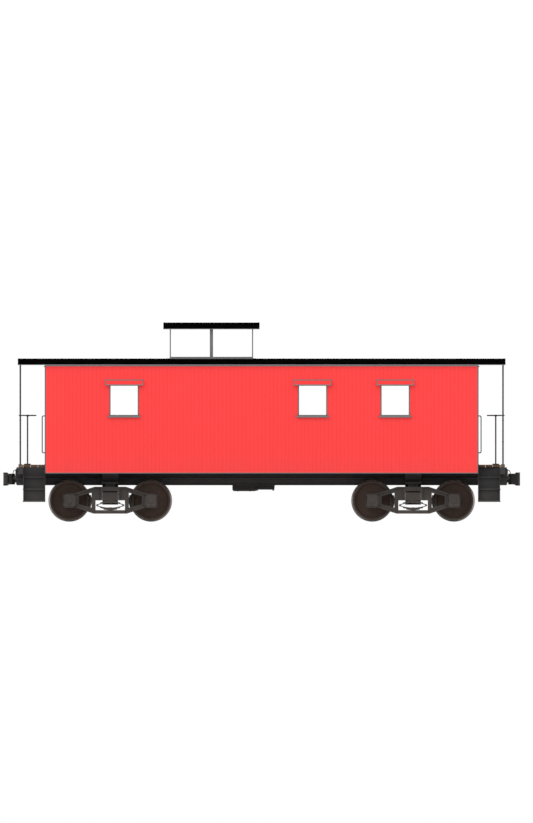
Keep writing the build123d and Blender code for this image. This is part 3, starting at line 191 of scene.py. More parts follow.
def round_edges(bm, edges, width, segments):
    if edges and width > 0:
        bmesh.ops.bevel(bm, geom=edges, offset=width, offset_type="OFFSET", segments=segments, profile=0.5,
                        affect="EDGES", clamp_overlap=True, material=-1)


def block(bm, low, high, round_off=0.0, segments=2, turn=Matrix.Identity(4)):
    """A box from corner to corner with rounded edges, turned as a whole if asked."""
    low, high = Vector(map(min, low, high)), Vector(map(max, low, high))
    place = turn @ Matrix.Translation((low + high) / 2) @ Matrix.Diagonal((*(high - low), 1.0))
    bevelled(bm, bmesh.ops.create_cube(bm, size=1.0, matrix=place)["verts"], round_off, segments)


def border(bm, axis, near, far, low, high, width, round_off=0.0015, foot=True):
    """Strips round a rectangle across X (0) or Y (1), outside its corners or, if negative, inside."""
    (a0, z0), (a1, z1) = low, high
    strips = [((a0 - width, z1), (a1 + width, z1 + width)), ((a0 - width, z0), (a0, z1)),
              ((a1, z0), (a1 + width, z1))]
    if foot:
        strips.append(((a0 - width, z0 - width), (a1 + width, z0)))
    for (a, bottom), (b, top) in strips:
        corners = ((near, a, bottom), (far, b, top)) if axis == 0 else ((a, near, bottom), (b, far, top))
        block(bm, *corners, round_off)


def prism(bm, outline, along, round_off=0.0):
    """A flat outline pushed along a vector."""
    face = bm.faces.new([bm.verts.new(p) for p in outline])
    made = bmesh.ops.extrude_face_region(bm, geom=[face])
    top = [g for g in made["geom"] if isinstance(g, bmesh.types.BMVert)]
    bmesh.ops.translate(bm, vec=Vector(along), verts=top)
    bevelled(bm, [*top, *face.verts], round_off, 2)


def lathe(bm, profile, centre, axis, steps, across=X, closed=False):
    """Turns a profile of (radius, distance along the axis) once round an axis."""
    centre, axis = Vector(centre), Vector(axis)
    verts = [bm.verts.new(centre + across * point[0] + axis * point[1]) for point in profile]
    pairs = list(zip(verts, verts[1:])) + ([(verts[-1], verts[0])] if closed else [])
    edges = [bm.edges.new(pair) for pair in pairs]
    bmesh.ops.spin(bm, geom=verts + edges, cent=centre, axis=axis, angle=FULL_TURN, steps=steps,
                   use_merge=True, use_duplicate=False)
    if not closed:
        bmesh.ops.remove_doubles(bm, verts=bm.verts, dist=1e-5)


def rounded(corners, steps=4):
    """A line through corners, where the last value of each is how far from it the round starts."""
    # How far the handles of a curve reach towards its corner, so that it is nearly an arc
    handle = 0.55
    points = [Vector((*corner[:-1], 0.0)[:3]) for corner in corners]
    path = [points[0]]
    for before, corner, after, row in zip(points, points[1:], points[2:], corners[1:]):
        if row[-1]:
            start = corner + (before - corner).normalized() * row[-1]
            end = corner + (after - corner).normalized() * row[-1]
            path += interpolate_bezier(start, start.lerp(corner, handle), end.lerp(corner, handle), end,
                                       steps + 1)
        else:
            path.append(corner)
    return path + [points[-1]]


def bent(points, radius):
    """The points of a bar that turns each corner on a radius."""
    return rounded([(*point, radius) for point in points], 5)


def facing(place, way):
    """A place whose own Z looks a given way."""
    return Matrix.Translation(place) @ way.normalized().to_track_quat("Z", "Y").to_matrix().to_4x4()


def bar(bm, points, radius, sides):
    """A round bar along points, closed at both ends."""
    points = [Vector(p) for p in points]
    rings = []
    for index, point in enumerate(points):
        way = points[min(index + 1, len(points) - 1)] - points[max(index - 1, 0)]
        made = bmesh.ops.create_circle(bm, cap_ends=index in (0, len(points) - 1), radius=radius,
                                       segments=sides, matrix=facing(point, way))
        ring = set(made["verts"])
        rings.append([e for e in {e for v in ring for e in v.link_edges} if set(e.verts) <= ring])
    for low, high in zip(rings, rings[1:]):
        bmesh.ops.bridge_loops(bm, edges=low + high)


def bolt(bm, place, normal, across, height, sides=6):
    """A bolt head or, with more sides, a rivet head on a surface."""
    middle = Vector(place) + normal * (height / 2 - SUNK)
    bmesh.ops.create_cone(bm, cap_ends=True, segments=sides, radius1=across / 2, radius2=across / 2 * 0.8,
                          depth=height + 2 * SUNK, matrix=facing(middle, normal))


def rivets(bm, start, end, pitch, normal):
    """A row of rivet heads from one place to another."""
    start, end = Vector(start), Vector(end)
    count = max(1, round((end - start).length / pitch))
    for index in range(count + 1):
        bolt(bm, start.lerp(end, index / count), normal, 0.024, 0.009, 8)


class Arch:
    """A low arch across the car: its radius, its crown and the point that it turns about."""

    def __init__(self, half_width, edge_height, rise):
        self.radius = (half_width ** 2 + rise ** 2) / (2 * rise)
        self.crown = edge_height + rise
        self.pivot = Z * (self.crown - self.radius)

    def height(self, y):
        return self.crown - self.radius + math.sqrt(self.radius ** 2 - y ** 2)

    def strip(self, bm, x_low, x_high, half_width, below, above, steps=24):
        """A strip bent across the car, from so far below the arch to so far above it."""
        turn = math.asin(half_width / self.radius)
        corners = ((x_low, -below), (x_high, -below), (x_high, above), (x_low, above))
        face = bm.faces.new([bm.verts.new((x, 0.0, self.crown + rise)) for x, rise in corners])
        bmesh.ops.rotate(bm, verts=face.verts, cent=self.pivot, matrix=Matrix.Rotation(turn, 3, "X"))
        bmesh.ops.spin(bm, geom=[face, *face.edges, *face.verts], cent=self.pivot, axis=X, angle=-2 * turn,
                       steps=steps, use_merge=False, use_duplicate=False)

    def boards(self, bm, half_width, pitch, gap, thickness, stretches):
        """Boards along the car under the arch, over the stretches of X that a board at its Y covers."""
        count = round(2 * half_width / pitch)
        width = 2 * half_width / count
        half = (width - gap) / 2
        for index in range(count):
            y = -half_width + width * (index + 0.5)
            tilt = Matrix.Rotation(-math.asin(y / self.radius), 4, "X")
            turn = Matrix.Translation(self.pivot) @ tilt @ Matrix.Translation(-self.pivot)
            for x_low, x_high in stretches(abs(y) + width / 2):
                block(bm, (x_low, -half, self.crown - thickness), (x_high, half, self.crown - 0.001),
                      0.002, 1, turn)


def main_arch(sizes, edge):
    """The arch of the main roof's top or underside, from the height of its edges."""
    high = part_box("roof")[1]
    return Arch(high.y, edge, high.z - EAVES - sizes.roof_edge)


def frame_copy(node):
    """The merged mesh of a node of the frame."""
    bm = bmesh.new()
    bm.from_mesh(frame["nodes"][node].data)
    bmesh.ops.remove_doubles(bm, verts=bm.verts, dist=2e-5)
    return bm


def smoothed_copy(node, width, segments=2):
    """A copy of a node of the frame with its flat areas joined up and every sharp edge rounded."""
    flat, sharp = math.radians(0.8), math.radians(25.0)
    bm = frame_copy(node)
    bmesh.ops.dissolve_limit(bm, angle_limit=flat, use_dissolve_boundaries=False, verts=bm.verts,
                             edges=bm.edges, delimit=set())
    round_edges(bm, [e for e in bm.edges if len(e.link_faces) == 2 and e.calc_face_angle(0.0) > sharp],
                width, segments)
    bm.normal_update()
    return bm


def dressed(node, width, segments=2):
    """A rounded copy of a node of the frame, standing for the node."""
    finished(smoothed_copy(node, width, segments), f"{node}_dressed", NODE_SLOT[node], (node,),
             NODE_BODY[node], weighted=True, tidy=False)


def cut(bm, place, normal):
    """Cuts all the faces along a plane."""
    bmesh.ops.bisect_plane(bm, geom=bm.verts[:] + bm.edges[:] + bm.faces[:], dist=1e-6, plane_co=place,
                           plane_no=normal)


def steps_between(start, end, pitch):
    """Even places between two ends, about a pitch apart, without the ends."""
    count = max(1, round((end - start) / pitch))
    return [start + (end - start) * index / count for index in range(1, count)]


def boarded(node, axis, reach, outer, inner, sizes):
    """A copy of a wall with both faces cut into boards; the inner one takes the second material."""
    bm = frame_copy(node)
    across = 1 - axis
    joints = steps_between(-reach, reach, sizes.board_pitch)
    half = sizes.groove_width / 2
    normal = (X, Y)[axis]
    for joint in joints:
        for place in (joint - half, joint, joint + half):
            cut(bm, normal * place, normal)
    for face in bm.faces:
        if all(abs(v.co[across] - inner) < 1e-4 for v in face.verts):
            face.material_index = 1
        elif all(abs(v.co[across]) < abs(inner) + 2e-4 for v in face.verts):
            face.material_index = 2
    places = [round(joint, 5) for joint in joints]
    for v in bm.verts:
        for plane, deeper in ((outer, inner - outer), (inner, outer - inner)):
            if abs(v.co[across] - plane) < 1e-5 and any(abs(v.co[axis] - place) < 2e-5 for place in places):
                v.co[across] += math.copysign(sizes.groove_depth, deeper)
                break
    return bm


def planks(bm, axis, low, high, sizes):
    """Planks side by side that fill a box; they lie along X (0) or Y (1)."""
    side = 1 - axis
    count = max(1, round((high[side] - low[side]) / sizes.plank_width))
    width = (high[side] - low[side]) / count
    for index in range(count):
        start, end = list(low), list(high)
        start[side] = low[side] + width * index + sizes.plank_gap / 2
        end[side] = low[side] + width * (index + 1) - sizes.plank_gap / 2
        block(bm, start, end, 0.003)


# Soft pieces


def stuffed(name, size, swell):
    """A cushion at the origin: a box cover blown up by a cloth simulation, held at seams and buttons."""
    columns, rows, seam = 3, 2, 0.004
    half = Vector(size) / 2
    pattern = half - Vector((seam, seam, min(swell, half.z * 0.5)))
    bm, piping = bmesh.new(), bmesh.new()
    block(bm, -pattern, pattern, 0.010, 3)
    x, y = pattern.xy
    for z in (-pattern.z, pattern.z):
        path = [(0, y, z), (-x, y, z), (-x, -y, z), (x, -y, z), (x, y, z), (0, y, z)]
        bar(piping, bent(path, 0.02), seam, 8)
    buttons = [Vector((x * (2 * (i + 0.5) / columns - 1), y * (2 * (j + 0.5) / rows - 1)))
               for i in range(columns) for j in range(rows)]
    obj = added(name, mesh_of(bm, name))
    voxels = obj.modifiers.new("even cover", "REMESH")
    voxels.mode, voxels.voxel_size = "VOXEL", 0.008
    apply_modifiers(obj)
    blow_up(obj, pattern, buttons, swell)
    bm = bmesh.new()
    bm.from_mesh(obj.data)
    cap = rounded([(0.0, 0.004, 0.0), (0.009, 0.003, 0.003), (0.010, -0.003, 0.0), (0.0, -0.003, 0.0)])
    for place in buttons:
        for level in SIDES:
            near = min((v for v in bm.verts if v.co.z * level > 0), key=lambda v: (v.co.xy - place).length)
            lathe(bm, cap, near.co, level * Z, 12)
    bm.from_mesh(mesh_of(piping, "piping"))
    bm.normal_update()
    made = mesh_of(bm, name)
    made.shade_smooth()
    bpy.data.objects.remove(obj)
    return made


def apply_modifiers(obj):
    """Puts what an object's modifiers make of it in its place."""
    seen = obj.evaluated_get(bpy.context.evaluated_depsgraph_get())
    mesh = bpy.data.meshes.new_from_object(seen)
    obj.modifiers.clear()
    obj.data = mesh


def blow_up(obj, pattern, buttons, swell):
    """Fills a cover with air in a cloth simulation and then holds each point within the swell."""
    near_seam, near_button, simulated_frames = 0.009, 0.010, 20
    held = obj.vertex_groups.new(name="held")
    for v in obj.data.vertices:
        at_seam = abs(abs(v.co.z) - pattern.z) < near_seam and (
            pattern.x - abs(v.co.x) < near_seam or pattern.y - abs(v.co.y) < near_seam)
        if at_seam or any((v.co.xy - place).length < near_button for place in buttons):
            held.add([v.index], 1.0, "REPLACE")
    start = [v.co.copy() for v in obj.data.vertices]
    cloth = obj.modifiers.new("stuffing", "CLOTH").settings
    cloth.use_pressure = True
    cloth.uniform_pressure_force = 4.0
    cloth.vertex_group_mass = "held"
    cloth.effector_weights.gravity = 0.0
    scene = bpy.context.scene
    for number in range(1, simulated_frames + 1):
        scene.frame_set(number)
    apply_modifiers(obj)
    scene.frame_set(1)
    for v, before in zip(obj.data.vertices, start):
        move = v.co - before
        if move.length > swell:
            v.co = before + move.normalized() * swell


# Shaders


def shader(tree, kind, inputs=None, **settings):
    """A node with its settings; each of its inputs takes a value or a link from another node."""
    made = tree.nodes.new(f"ShaderNode{kind}")
    for key, value in settings.items():
        setattr(made, key, value)
    for key, value in (inputs or {}).items():
        if isinstance(value, bpy.types.NodeSocket):
            tree.links.new(value, made.inputs[key])
        else:
            made.inputs[key].default_value = value
    return made


def ranged(tree, value, low, high, start=0.0, end=1.0, **settings):
    """A value mapped from one range to another and held within it."""
    return shader(tree, "MapRange", {"Value": value, "From Min": low, "From Max": high, "To Min": start,
                                     "To Max": end}, **settings).outputs["Result"]


def shared(tree, first, second, amount):
    """The product of two masks and an amount, held between 0 and 1."""
    both = shader(tree, "Math", {0: first, 1: second}, operation="MULTIPLY").outputs[0]
    return shader(tree, "Math", {0: both, 1: amount}, operation="MULTIPLY", use_clamp=True).outputs[0]


def group_of(name, inputs, output):
    """A shader node group that reads a vector: its tree, its input sockets and its one output socket."""
    tree = bpy.data.node_groups.new(name, "ShaderNodeTree")
    tree.interface.new_socket(name="Vector", in_out="INPUT", socket_type="NodeSocketVector")
    for label, default in inputs.items():
        kind = "Vector" if isinstance(default, tuple) else "Float"
        socket = tree.interface.new_socket(name=label, in_out="INPUT", socket_type=f"NodeSocket{kind}")
        socket.default_value = default
    tree.interface.new_socket(name=output, in_out="OUTPUT", socket_type="NodeSocketFloat")
    return tree, tree.nodes.new("NodeGroupInput").outputs, tree.nodes.new("NodeGroupOutput").inputs[output]


def grain_group():
    """Streaked or even grain: a value for colour and bump."""
    tree, given, out = group_of("Fine grain", {"Scale": (10.0, 10.0, 10.0), "Detail": 5.0}, "Value")
    stretch = shader(tree, "VectorMath", {0: given["Vector"], 1: given["Scale"]}, operation="MULTIPLY")
    noise = shader(tree, "TexNoise", {"Vector": stretch.outputs[0], "Scale": 1.0, "Detail": given["Detail"],
                                      "Roughness": 0.62})
    tree.links.new(noise.outputs["Fac"], out)


def edge_group():
    """A mask that is 1 on worn edges, from how far a rounded normal leaves the surface's own."""
    tree, given, out = group_of("Edge wear", {"Radius": 0.006, "Amount": 1.0}, "Mask")
    bevel = shader(tree, "Bevel", {"Radius": given["Radius"]}, samples=4)
    surface = shader(tree, "NewGeometry")
    turn = shader(tree, "VectorMath", {0: bevel.outputs["Normal"], 1: surface.outputs["Normal"]},
                  operation="DOT_PRODUCT")
    noise = shader(tree, "TexNoise", {"Vector": given["Vector"], "Scale": 9.0, "Detail": 6.0,
                                      "Roughness": 0.7})
    away = ranged(tree, turn.outputs["Value"], 0.995, 0.86)
    patchy = ranged(tree, noise.outputs["Fac"], 0.42, 0.66)
    tree.links.new(shared(tree, away, patchy, given["Amount"]), out)


def dust_group():
    """A mask of track dust that fades upwards, broken up by noise."""
    tree, given, out = group_of("Track dust", {"Low": 0.0, "High": 1.0, "Amount": 0.5}, "Mask")
    place = shader(tree, "SeparateXYZ", {0: given["Vector"]})
    noise = shader(tree, "TexNoise", {"Vector": given["Vector"], "Scale": 3.2, "Detail": 7.0,
                                      "Roughness": 0.65})
    height = ranged(tree, place.outputs["Z"], given["Low"], given["High"], 1.0, 0.0,
                    interpolation_type="SMOOTHSTEP")
    patchy = ranged(tree, noise.outputs["Fac"], 0.3, 0.7, 0.25, 1.0)
    tree.links.new(shared(tree, height, patchy, given["Amount"]), out)


def board_group():
    """A value from 0 to 1 that differs from board to board along a direction."""
    tree, given, out = group_of("Board tint", {"Direction": (1.0, 0.0, 0.0), "Pitch": 0.083}, "Value")
    along = shader(tree, "VectorMath", {0: given["Vector"], 1: given["Direction"]}, operation="DOT_PRODUCT")
    share = shader(tree, "Math", {0: along.outputs["Value"], 1: given["Pitch"]}, operation="DIVIDE")
    whole = shader(tree, "Math", {0: share.outputs[0]}, operation="FLOOR")
    pick = shader(tree, "TexWhiteNoise", {"W": whole.outputs[0]}, noise_dimensions="1D")
    tree.links.new(pick.outputs["Value"], out)


def new_material(name, values):
    """A material, and the inputs of its surface with some values set."""
    material = bpy.data.materials.new(name)
    material.use_nodes = True
    surface = material.node_tree.nodes["Principled BSDF"].inputs
    for key, value in values.items():
        surface[key].default_value = value
    return material, surface


class Finish:
    """One material: its surface, its Object coordinates and the colour that is built up so far."""

    def __init__(self, name, base, roughness, specular, metallic=0.0):
        self.base, self.roughness, self.colour = (*base, 1.0), roughness, None
        self.material, self.surface = new_material(
            name, {"Metallic": metallic, "Specular IOR Level": specular, "Roughness": roughness})
        self.tree = self.material.node_tree
        self.coordinates = shader(self.tree, "TexCoord").outputs["Object"]

    def value(self, group, **inputs):
        """A value from a node group, read at the piece's own coordinates."""
        return shader(self.tree, "Group", {"Vector": self.coordinates, **inputs},
                      node_tree=bpy.data.node_groups[group]).outputs[0]

    def grain(self, scale, detail):
        """Even grain or, with a scale for each direction, streaked grain."""
        scale = scale if isinstance(scale, tuple) else (scale,) * 3
        return self.value("Fine grain", Scale=scale, Detail=detail)

    def mixed(self, value, tone):
        """Lays a second colour over what is there, where the value is 1."""
        mix = shader(self.tree, "Mix", {"Factor": value}, data_type="RGBA")
        under, over = (next(s for s in mix.inputs if s.name == key and s.type == "RGBA") for key in "AB")
        under.default_value, over.default_value = self.base, (*tone, 1.0)
        if self.colour is not None:
            self.tree.links.new(self.colour, under)
        self.colour = next(s for s in mix.outputs if s.type == "RGBA")
        return self

    def toned(self, value, share):
        """Darkens the base colour by a share where the value is 1."""
        return self.mixed(value, tuple(c * (1.0 - share) for c in self.base[:3]))

    def speckled(self, value, low, high, share):
        """Darkens the base colour by a share where the value lies high in a range."""
        return self.toned(ranged(self.tree, value, low, high), share)

    def done(self, name, bump, distance, strength, rough=None, spread=0.08):
        """Connects colour, roughness and bump, and keeps the material by a name."""
        self.tree.links.new(self.colour, self.surface["Base Color"])
        if rough is not None:
            low, high = max(0.02, self.roughness - spread), min(1.0, self.roughness + spread)
            self.tree.links.new(ranged(self.tree, rough, 0.3, 0.7, low, high), self.surface["Roughness"])
        relief = shader(self.tree, "Bump", {"Strength": strength, "Distance": distance, "Height": bump})
        self.tree.links.new(relief.outputs["Normal"], self.surface["Normal"])
        FINISHES[name] = self.material


def red_finishes(colours, sizes):
    """Painted boards of the sides, the ends and the loose pieces."""
    for name, direction in (("red_sides", X), ("red_ends", Y)):
        red = Finish(name, colours.body_red, 0.52, 0.18)
        grain = red.grain((60.0, 60.0, 2.2), 6.0)
        tint = red.value("Board tint", Direction=direction, Pitch=sizes.board_pitch)
        red.toned(tint, 0.035).speckled(grain, 0.35, 0.75, 0.03)
        red.mixed(red.value("Track dust", Low=1.0, High=1.6, Amount=0.10), DUST)
        red.done(name, grain, 0.0006, 0.35, rough=grain)
    plain = Finish("red_trim", colours.body_red, 0.5, 0.18)
    brush = plain.grain((14.0, 60.0, 60.0), 5.0)
    plain.speckled(brush, 0.35, 0.75, 0.03).done("red_trim", brush, 0.0004, 0.3, rough=brush)


def metal_finishes(colours):
    """Grey trim paint, with a lighter copy of it for the frieze and the drip edges that paints light against
    the shade under the eaves, black steel and castings, and the tarred canvas of the roofs.
    """
    roof = Finish("tarred_canvas", colours.roof_black, 0.95, 0.0)
    weave, patch = roof.grain(420.0, 3.0), roof.grain((2.4, 3.1, 2.0), 6.0)
    roof.mixed(ranged(roof.tree, patch, 0.42, 0.72, 0.0, 0.6), (0.0050, 0.0047, 0.0045))
    roof.done("roof_black", weave, 0.0012, 0.4)
    for name, base, rough, level, scale in (
        ("trim_grey", colours.trim_grey, 0.5, 0.2, (24.0, 90.0, 90.0)),
        # This grey is the trim grey made lighter: painted light against the shade under the eaves
        ("frieze_grey_painted_light", colours.frieze_grey_painted_light, 0.5, 0.2, (24.0, 90.0, 90.0)),
        ("frame_black", colours.frame_black, 0.48, 0.3, 70.0),
    ):
        paint = Finish(name, base, rough, level)
        grain = paint.grain(scale, 5.0)
        paint.speckled(grain, 0.3, 0.75, 0.08)
        if name == "frame_black":
            paint.mixed(paint.value("Edge wear", Radius=0.004, Amount=0.5), (0.14, 0.12, 0.11))
            paint.mixed(paint.value("Track dust", Low=0.1, High=1.3, Amount=0.30), DUST)
        paint.done(name, grain, 0.0004, 0.3, rough=grain)
    cast = Finish("cast_black", colours.cast_black, 0.62, 0.3)
    sand = cast.grain(160.0, 7.0)
    cast.speckled(sand, 0.3, 0.7, 0.25)
    cast.mixed(cast.value("Edge wear", Radius=0.006, Amount=0.55), (0.15, 0.11, 0.085))
    cast.mixed(cast.value("Track dust", Low=0.0, High=1.1, Amount=0.40), DUST)
    cast.done("cast_black", sand, 0.0016, 0.6, rough=sand)
    brass = Finish("brass", (0.50, 0.33, 0.11), 0.32, 0.5, 1.0)
    tarnish = brass.grain(30.0, 6.0)
    brass.mixed(ranged(brass.tree, tarnish, 0.4, 0.75), (0.20, 0.13, 0.05))
    brass.done("brass", tarnish, 0.0003, 0.3, rough=tarnish, spread=0.15)


def wood_finishes(colours, sizes):
    """Planks of the floor and the platforms, painted boards inside, and the seats' leather."""
    for name, base, stretch, direction, pitch, share in (
        ("boards", colours.deck_wood, (3.0, 55.0, 55.0), Y, sizes.plank_width, 0.4),
        ("deck_boards", colours.deck_wood, (55.0, 3.0, 55.0), X, sizes.plank_width, 0.4),
        ("inside_wood", colours.inside_paint, (40.0, 40.0, 3.0), X + Y, 0.1, 0.12),
    ):
        wood = Finish(name, base, 0.6, 0.25)
        grain = wood.grain(stretch, 7.0)
        wood.toned(wood.value("Board tint", Direction=direction, Pitch=pitch), share * 0.6)
        wood.mixed(ranged(wood.tree, grain, 0.35, 0.7, 0.0, share), tuple(c * 0.45 for c in base))
        wood.done(name, grain, 0.0008, 0.5, rough=grain)
    seat = Finish("seat_cover", colours.leather, 0.45, 0.4)
    pores, worn = seat.grain(260.0, 4.0), seat.grain(7.0, 5.0)
    seat.mixed(ranged(seat.tree, worn, 0.5, 0.75, 0.0, 0.6), (0.17, 0.075, 0.04))
    seat.done("seat_cover", pores, 0.0008, 0.5, rough=worn)


def glass_finish():
    """Clear panes with a faint film of haze."""
    pane, surface = new_material(
        "window_glass", {"Base Color": (1.0, 1.0, 1.0, 1.0), "Transmission Weight": 1.0, "IOR": 1.45})
    tree = pane.node_tree
    place = shader(tree, "TexCoord").outputs["Object"]
    haze = shader(tree, "TexNoise", {"Vector": place, "Scale": 5.0, "Detail": 5.0})
    tree.links.new(ranged(tree, haze.outputs["Fac"], 0.45, 0.8, 0.0, 0.03), surface["Roughness"])
    FINISHES["glass"] = pane


def wheel_finish(name, centre, colours):
    """Brown wheel with a bare tread: the bare ring is found by the distance from the axle's line."""
    tread = 0.4075, 0.4125
    wheel = Finish(name, colours.wheel_brown, 0.7, 0.3)
    tree = wheel.tree
    shift = shader(tree, "Mapping", {"Vector": wheel.coordinates, "Location": (-centre.x, 0.0, -centre.z),
                                     "Scale": (1.0, 0.0, 1.0)})
    reach = shader(tree, "VectorMath", {0: shift.outputs["Vector"]}, operation="LENGTH").outputs["Value"]
    sand = wheel.grain(90.0, 7.0)
    bare = ranged(tree, reach, *tread)
    wheel.speckled(sand, 0.3, 0.7, 0.35).mixed(bare, tuple(colours.tread_steel))
    tree.links.new(bare, wheel.surface["Metallic"])
    wheel.done(name, sand, 0.0008, 0.4, rough=ranged(tree, reach, 0.40, 0.412, 0.7, 0.3), spread=0.22)


# Operators, one for each piece or group of like pieces


class StageOperator(Operator):
    """Floor, soft lamps, white surround and the side-on camera"""

    bl_idname = "caboose.stage"
    bl_label = "Stage and camera"

    def execute(self, context):
        image_width, image_height, metres_per_pixel = 533, 823, 0.021132
        view_x, view_z, view_distance = 0.1025, 2.329, 150.0
        floor_half, floor_tone = 400.0, 0.88
        light_level, seen_level = 0.80, 1.0
        bm = bmesh.new()
        bmesh.ops.create_grid(bm, x_segments=1, y_segments=1, size=floor_half)
        floor = added("floor_sheet", mesh_of(bm, "floor_sheet"))
        pale, _ = new_material("pale_floor", {"Base Color": (floor_tone, floor_tone, floor_tone, 1.0),
                                              "Roughness": 0.95, "Specular IOR Level": 0.0})
        floor.data.materials.append(pale)

        world = bpy.data.worlds.new("white_surround")
        context.scene.world = world
        world.use_nodes = True
        tree = world.node_tree
        rays = shader(tree, "LightPath").outputs
        seen = shader(tree, "Math", {0: rays["Is Camera Ray"], 1: rays["Is Glossy Ray"]}, operation="MAXIMUM")
        every = shader(tree, "Math", {0: seen.outputs[0], 1: rays["Is Transmission Ray"]},
                       operation="MAXIMUM")
        lit = tree.nodes["Background"].inputs
        lit["Color"].default_value = (1.0, 1.0, 1.0, 1.0)
        level = ranged(tree, every.outputs[0], 0.0, 1.0, light_level, seen_level)
        tree.links.new(level, lit["Strength"])

        for name, direction, softness, strength in (
            ("key_lamp", (7.0, 13.0, -9.0), 60.0, 0.72),
            ("fill_lamp", (-9.0, 11.0, -4.0), 80.0, 0.32),
            ("back_lamp", (-4.0, -13.0, -9.0), 60.0, 0.62),
        ):
            lamp = bpy.data.lights.new(name, "SUN")
            lamp.angle, lamp.energy = math.radians(softness), strength
            added(name, lamp).rotation_euler = Vector(direction).to_track_quat("-Z", "Y").to_euler()

        lens = bpy.data.cameras.new("side_camera")
        lens.type = "ORTHO"
        lens.ortho_scale = max(image_width, image_height) * metres_per_pixel
        lens.clip_end = 1000.0
        camera = added("side_camera", lens)
        camera.location = (view_x, -view_distance, view_z)
        camera.rotation_euler = (math.pi / 2, 0.0, 0.0)
        context.scene.camera = camera
        context.scene.view_settings.view_transform = "Standard"
        return {"FINISHED"}


class FinishOperator(Operator):
    """Paints, woods, castings, steel, glass and leather, and the effects they share"""

    bl_idname = "caboose.finishes"
    bl_label = "Finishes"

    def execute(self, context):
        for make in (grain_group, edge_group, dust_group, board_group):
            make()
        colours, sizes = context.scene.caboose_colours, context.scene.caboose_sizes
        red_finishes(colours, sizes)
        metal_finishes(colours)
        wood_finishes(colours, sizes)
        glass_finish()
        for index in WHEELSETS:
            wheel_finish(f"wheel_steel_{index}", middle_of(f"axle_{index}"), colours)
        red = {"side_wall_left": "red_sides", "side_wall_right": "red_sides", "window_hoods": "red_trim"}
        for node, obj in frame["nodes"].items():
            look = NODE_SLOT[node]
            if look == "red_boards":
                look = red.get(node, "red_ends")
            elif look == "wheel_steel":
                look = f"wheel_steel_{node[-1]}"
            obj.data.materials.clear()
            obj.data.materials.append(FINISHES[look])
        return {"FINISHED"}


class WallOperator(Operator):
    """Tongue-and-groove boards on both faces of the sides and ends"""

    bl_idname = "caboose.walls"
    bl_label = "Boarded walls"

    def execute(self, context):
        sides = (0, BODY_X, BODY_Y, INSIDE_Y, "red_sides")
        ends = (1, INSIDE_Y, BODY_X, INSIDE_X, "red_ends")
        for node, way, (axis, reach, outer, inner, paint) in (
            ("side_wall_left", 1, sides), ("side_wall_right", -1, sides),
            ("end_wall_front", 1, ends), ("end_wall_rear", -1, ends),
        ):
            bm = boarded(node, axis, reach, way * outer, way * inner, context.scene.caboose_sizes)
            finished(bm, f"{node}_boards", NODE_SLOT[node], (node,),
                     looks=(paint, "inside_wood", "frame_black"), crease=20.0, tidy=False)
        return {"FINISHED"}


class TrimOperator(Operator):
    """Grey strips along the body's corners, foot and eaves, round the doors and along the drip edges"""

    bl_idname = "caboose.trim"
    bl_label = "Body trim"

    def execute(self, context):
        sizes = context.scene.caboose_sizes
        inwards, proud, sheet, board = sizes.corner_trim, sizes.corner_proud, 0.002, 0.012
        end_board, foot_high, foot_low = 0.075, 0.012, 0.006
        reach = BODY_X + proud
        bm, frieze = bmesh.new(), bmesh.new()
        for side in SIDES:
            face, back = side * BODY_Y, side * (BODY_Y - SUNK)
            out = face + side * sheet
            block(bm, (-reach, back, BODY_FOOT - foot_low), (reach, out, BODY_FOOT + foot_high), 0.0008)
            block(frieze, (-reach, back, EAVES - sizes.frieze), (reach, face + side * board, EAVES), 0.002)
            for end in SIDES:
                x = end * BODY_X
                block(bm, (end * reach, back, BODY_FOOT), (x - end * inwards, out, EAVES), 0.0008)
                block(bm, (x - end * SUNK, out, BODY_FOOT), (end * reach, face - side * end_board, EAVES),
                      0.002)
        casing, head_room, overhang, head_board, threshold = 0.075, 0.005, 0.02, 0.022, 0.012
        half = sizes.door_width / 2 + head_room
        top = FLOOR_TOP + sizes.door_height + 2 * head_room
        head, head_half = top + casing, half + casing + overhang
        soffit = main_arch(sizes, EAVES)
        for end in SIDES:
            x = end * BODY_X
            near, far = x - end * SUNK, x + end * board
            border(bm, 0, near, far, (-half, FLOOR_TOP), (half, top), casing, 0.002, foot=False)
            block(bm, (x, -head_half, head), (x + end * 0.03, head_half, head + head_board), 0.004)
            block(bm, (x - end * 0.04, -half, FLOOR_TOP), (x + end * 0.02, half, FLOOR_TOP + threshold),
                  0.003)
            soffit.strip(bm, *sorted((near, far)), BODY_Y - 0.002, end_board, 0.0005)
        finished(bm, "body_trim", "trim_grey")
        # The frieze takes the lighter grey, painted light that offsets the shade of the roof's overhang
        finished(frieze, "frieze", "trim_grey", looks=("frieze_grey_painted_light",))

        drop, rise, thickness, flange, inset = 0.010, 0.001, 0.0015, 0.03, 0.01
        bm = bmesh.new()
        for node in ("roof", "cupola_roof"):
            low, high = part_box(node)
            for side in SIDES:
                y = side * high.y
                block(bm, (low.x, y + side * thickness, low.z - drop),
                      (high.x, y - side * thickness, low.z + rise), 0.0006, 1)
                block(bm, (low.x + inset, y, low.z - thickness),
                      (high.x - inset, y - side * flange, low.z - 0.0002))
        # The drip edges take the lighter grey too, painted light that offsets the shade under the roofs'
        # edges
        finished(bm, "drip_edges", "trim_grey", looks=("frieze_grey_painted_light",))
        return {"FINISHED"}


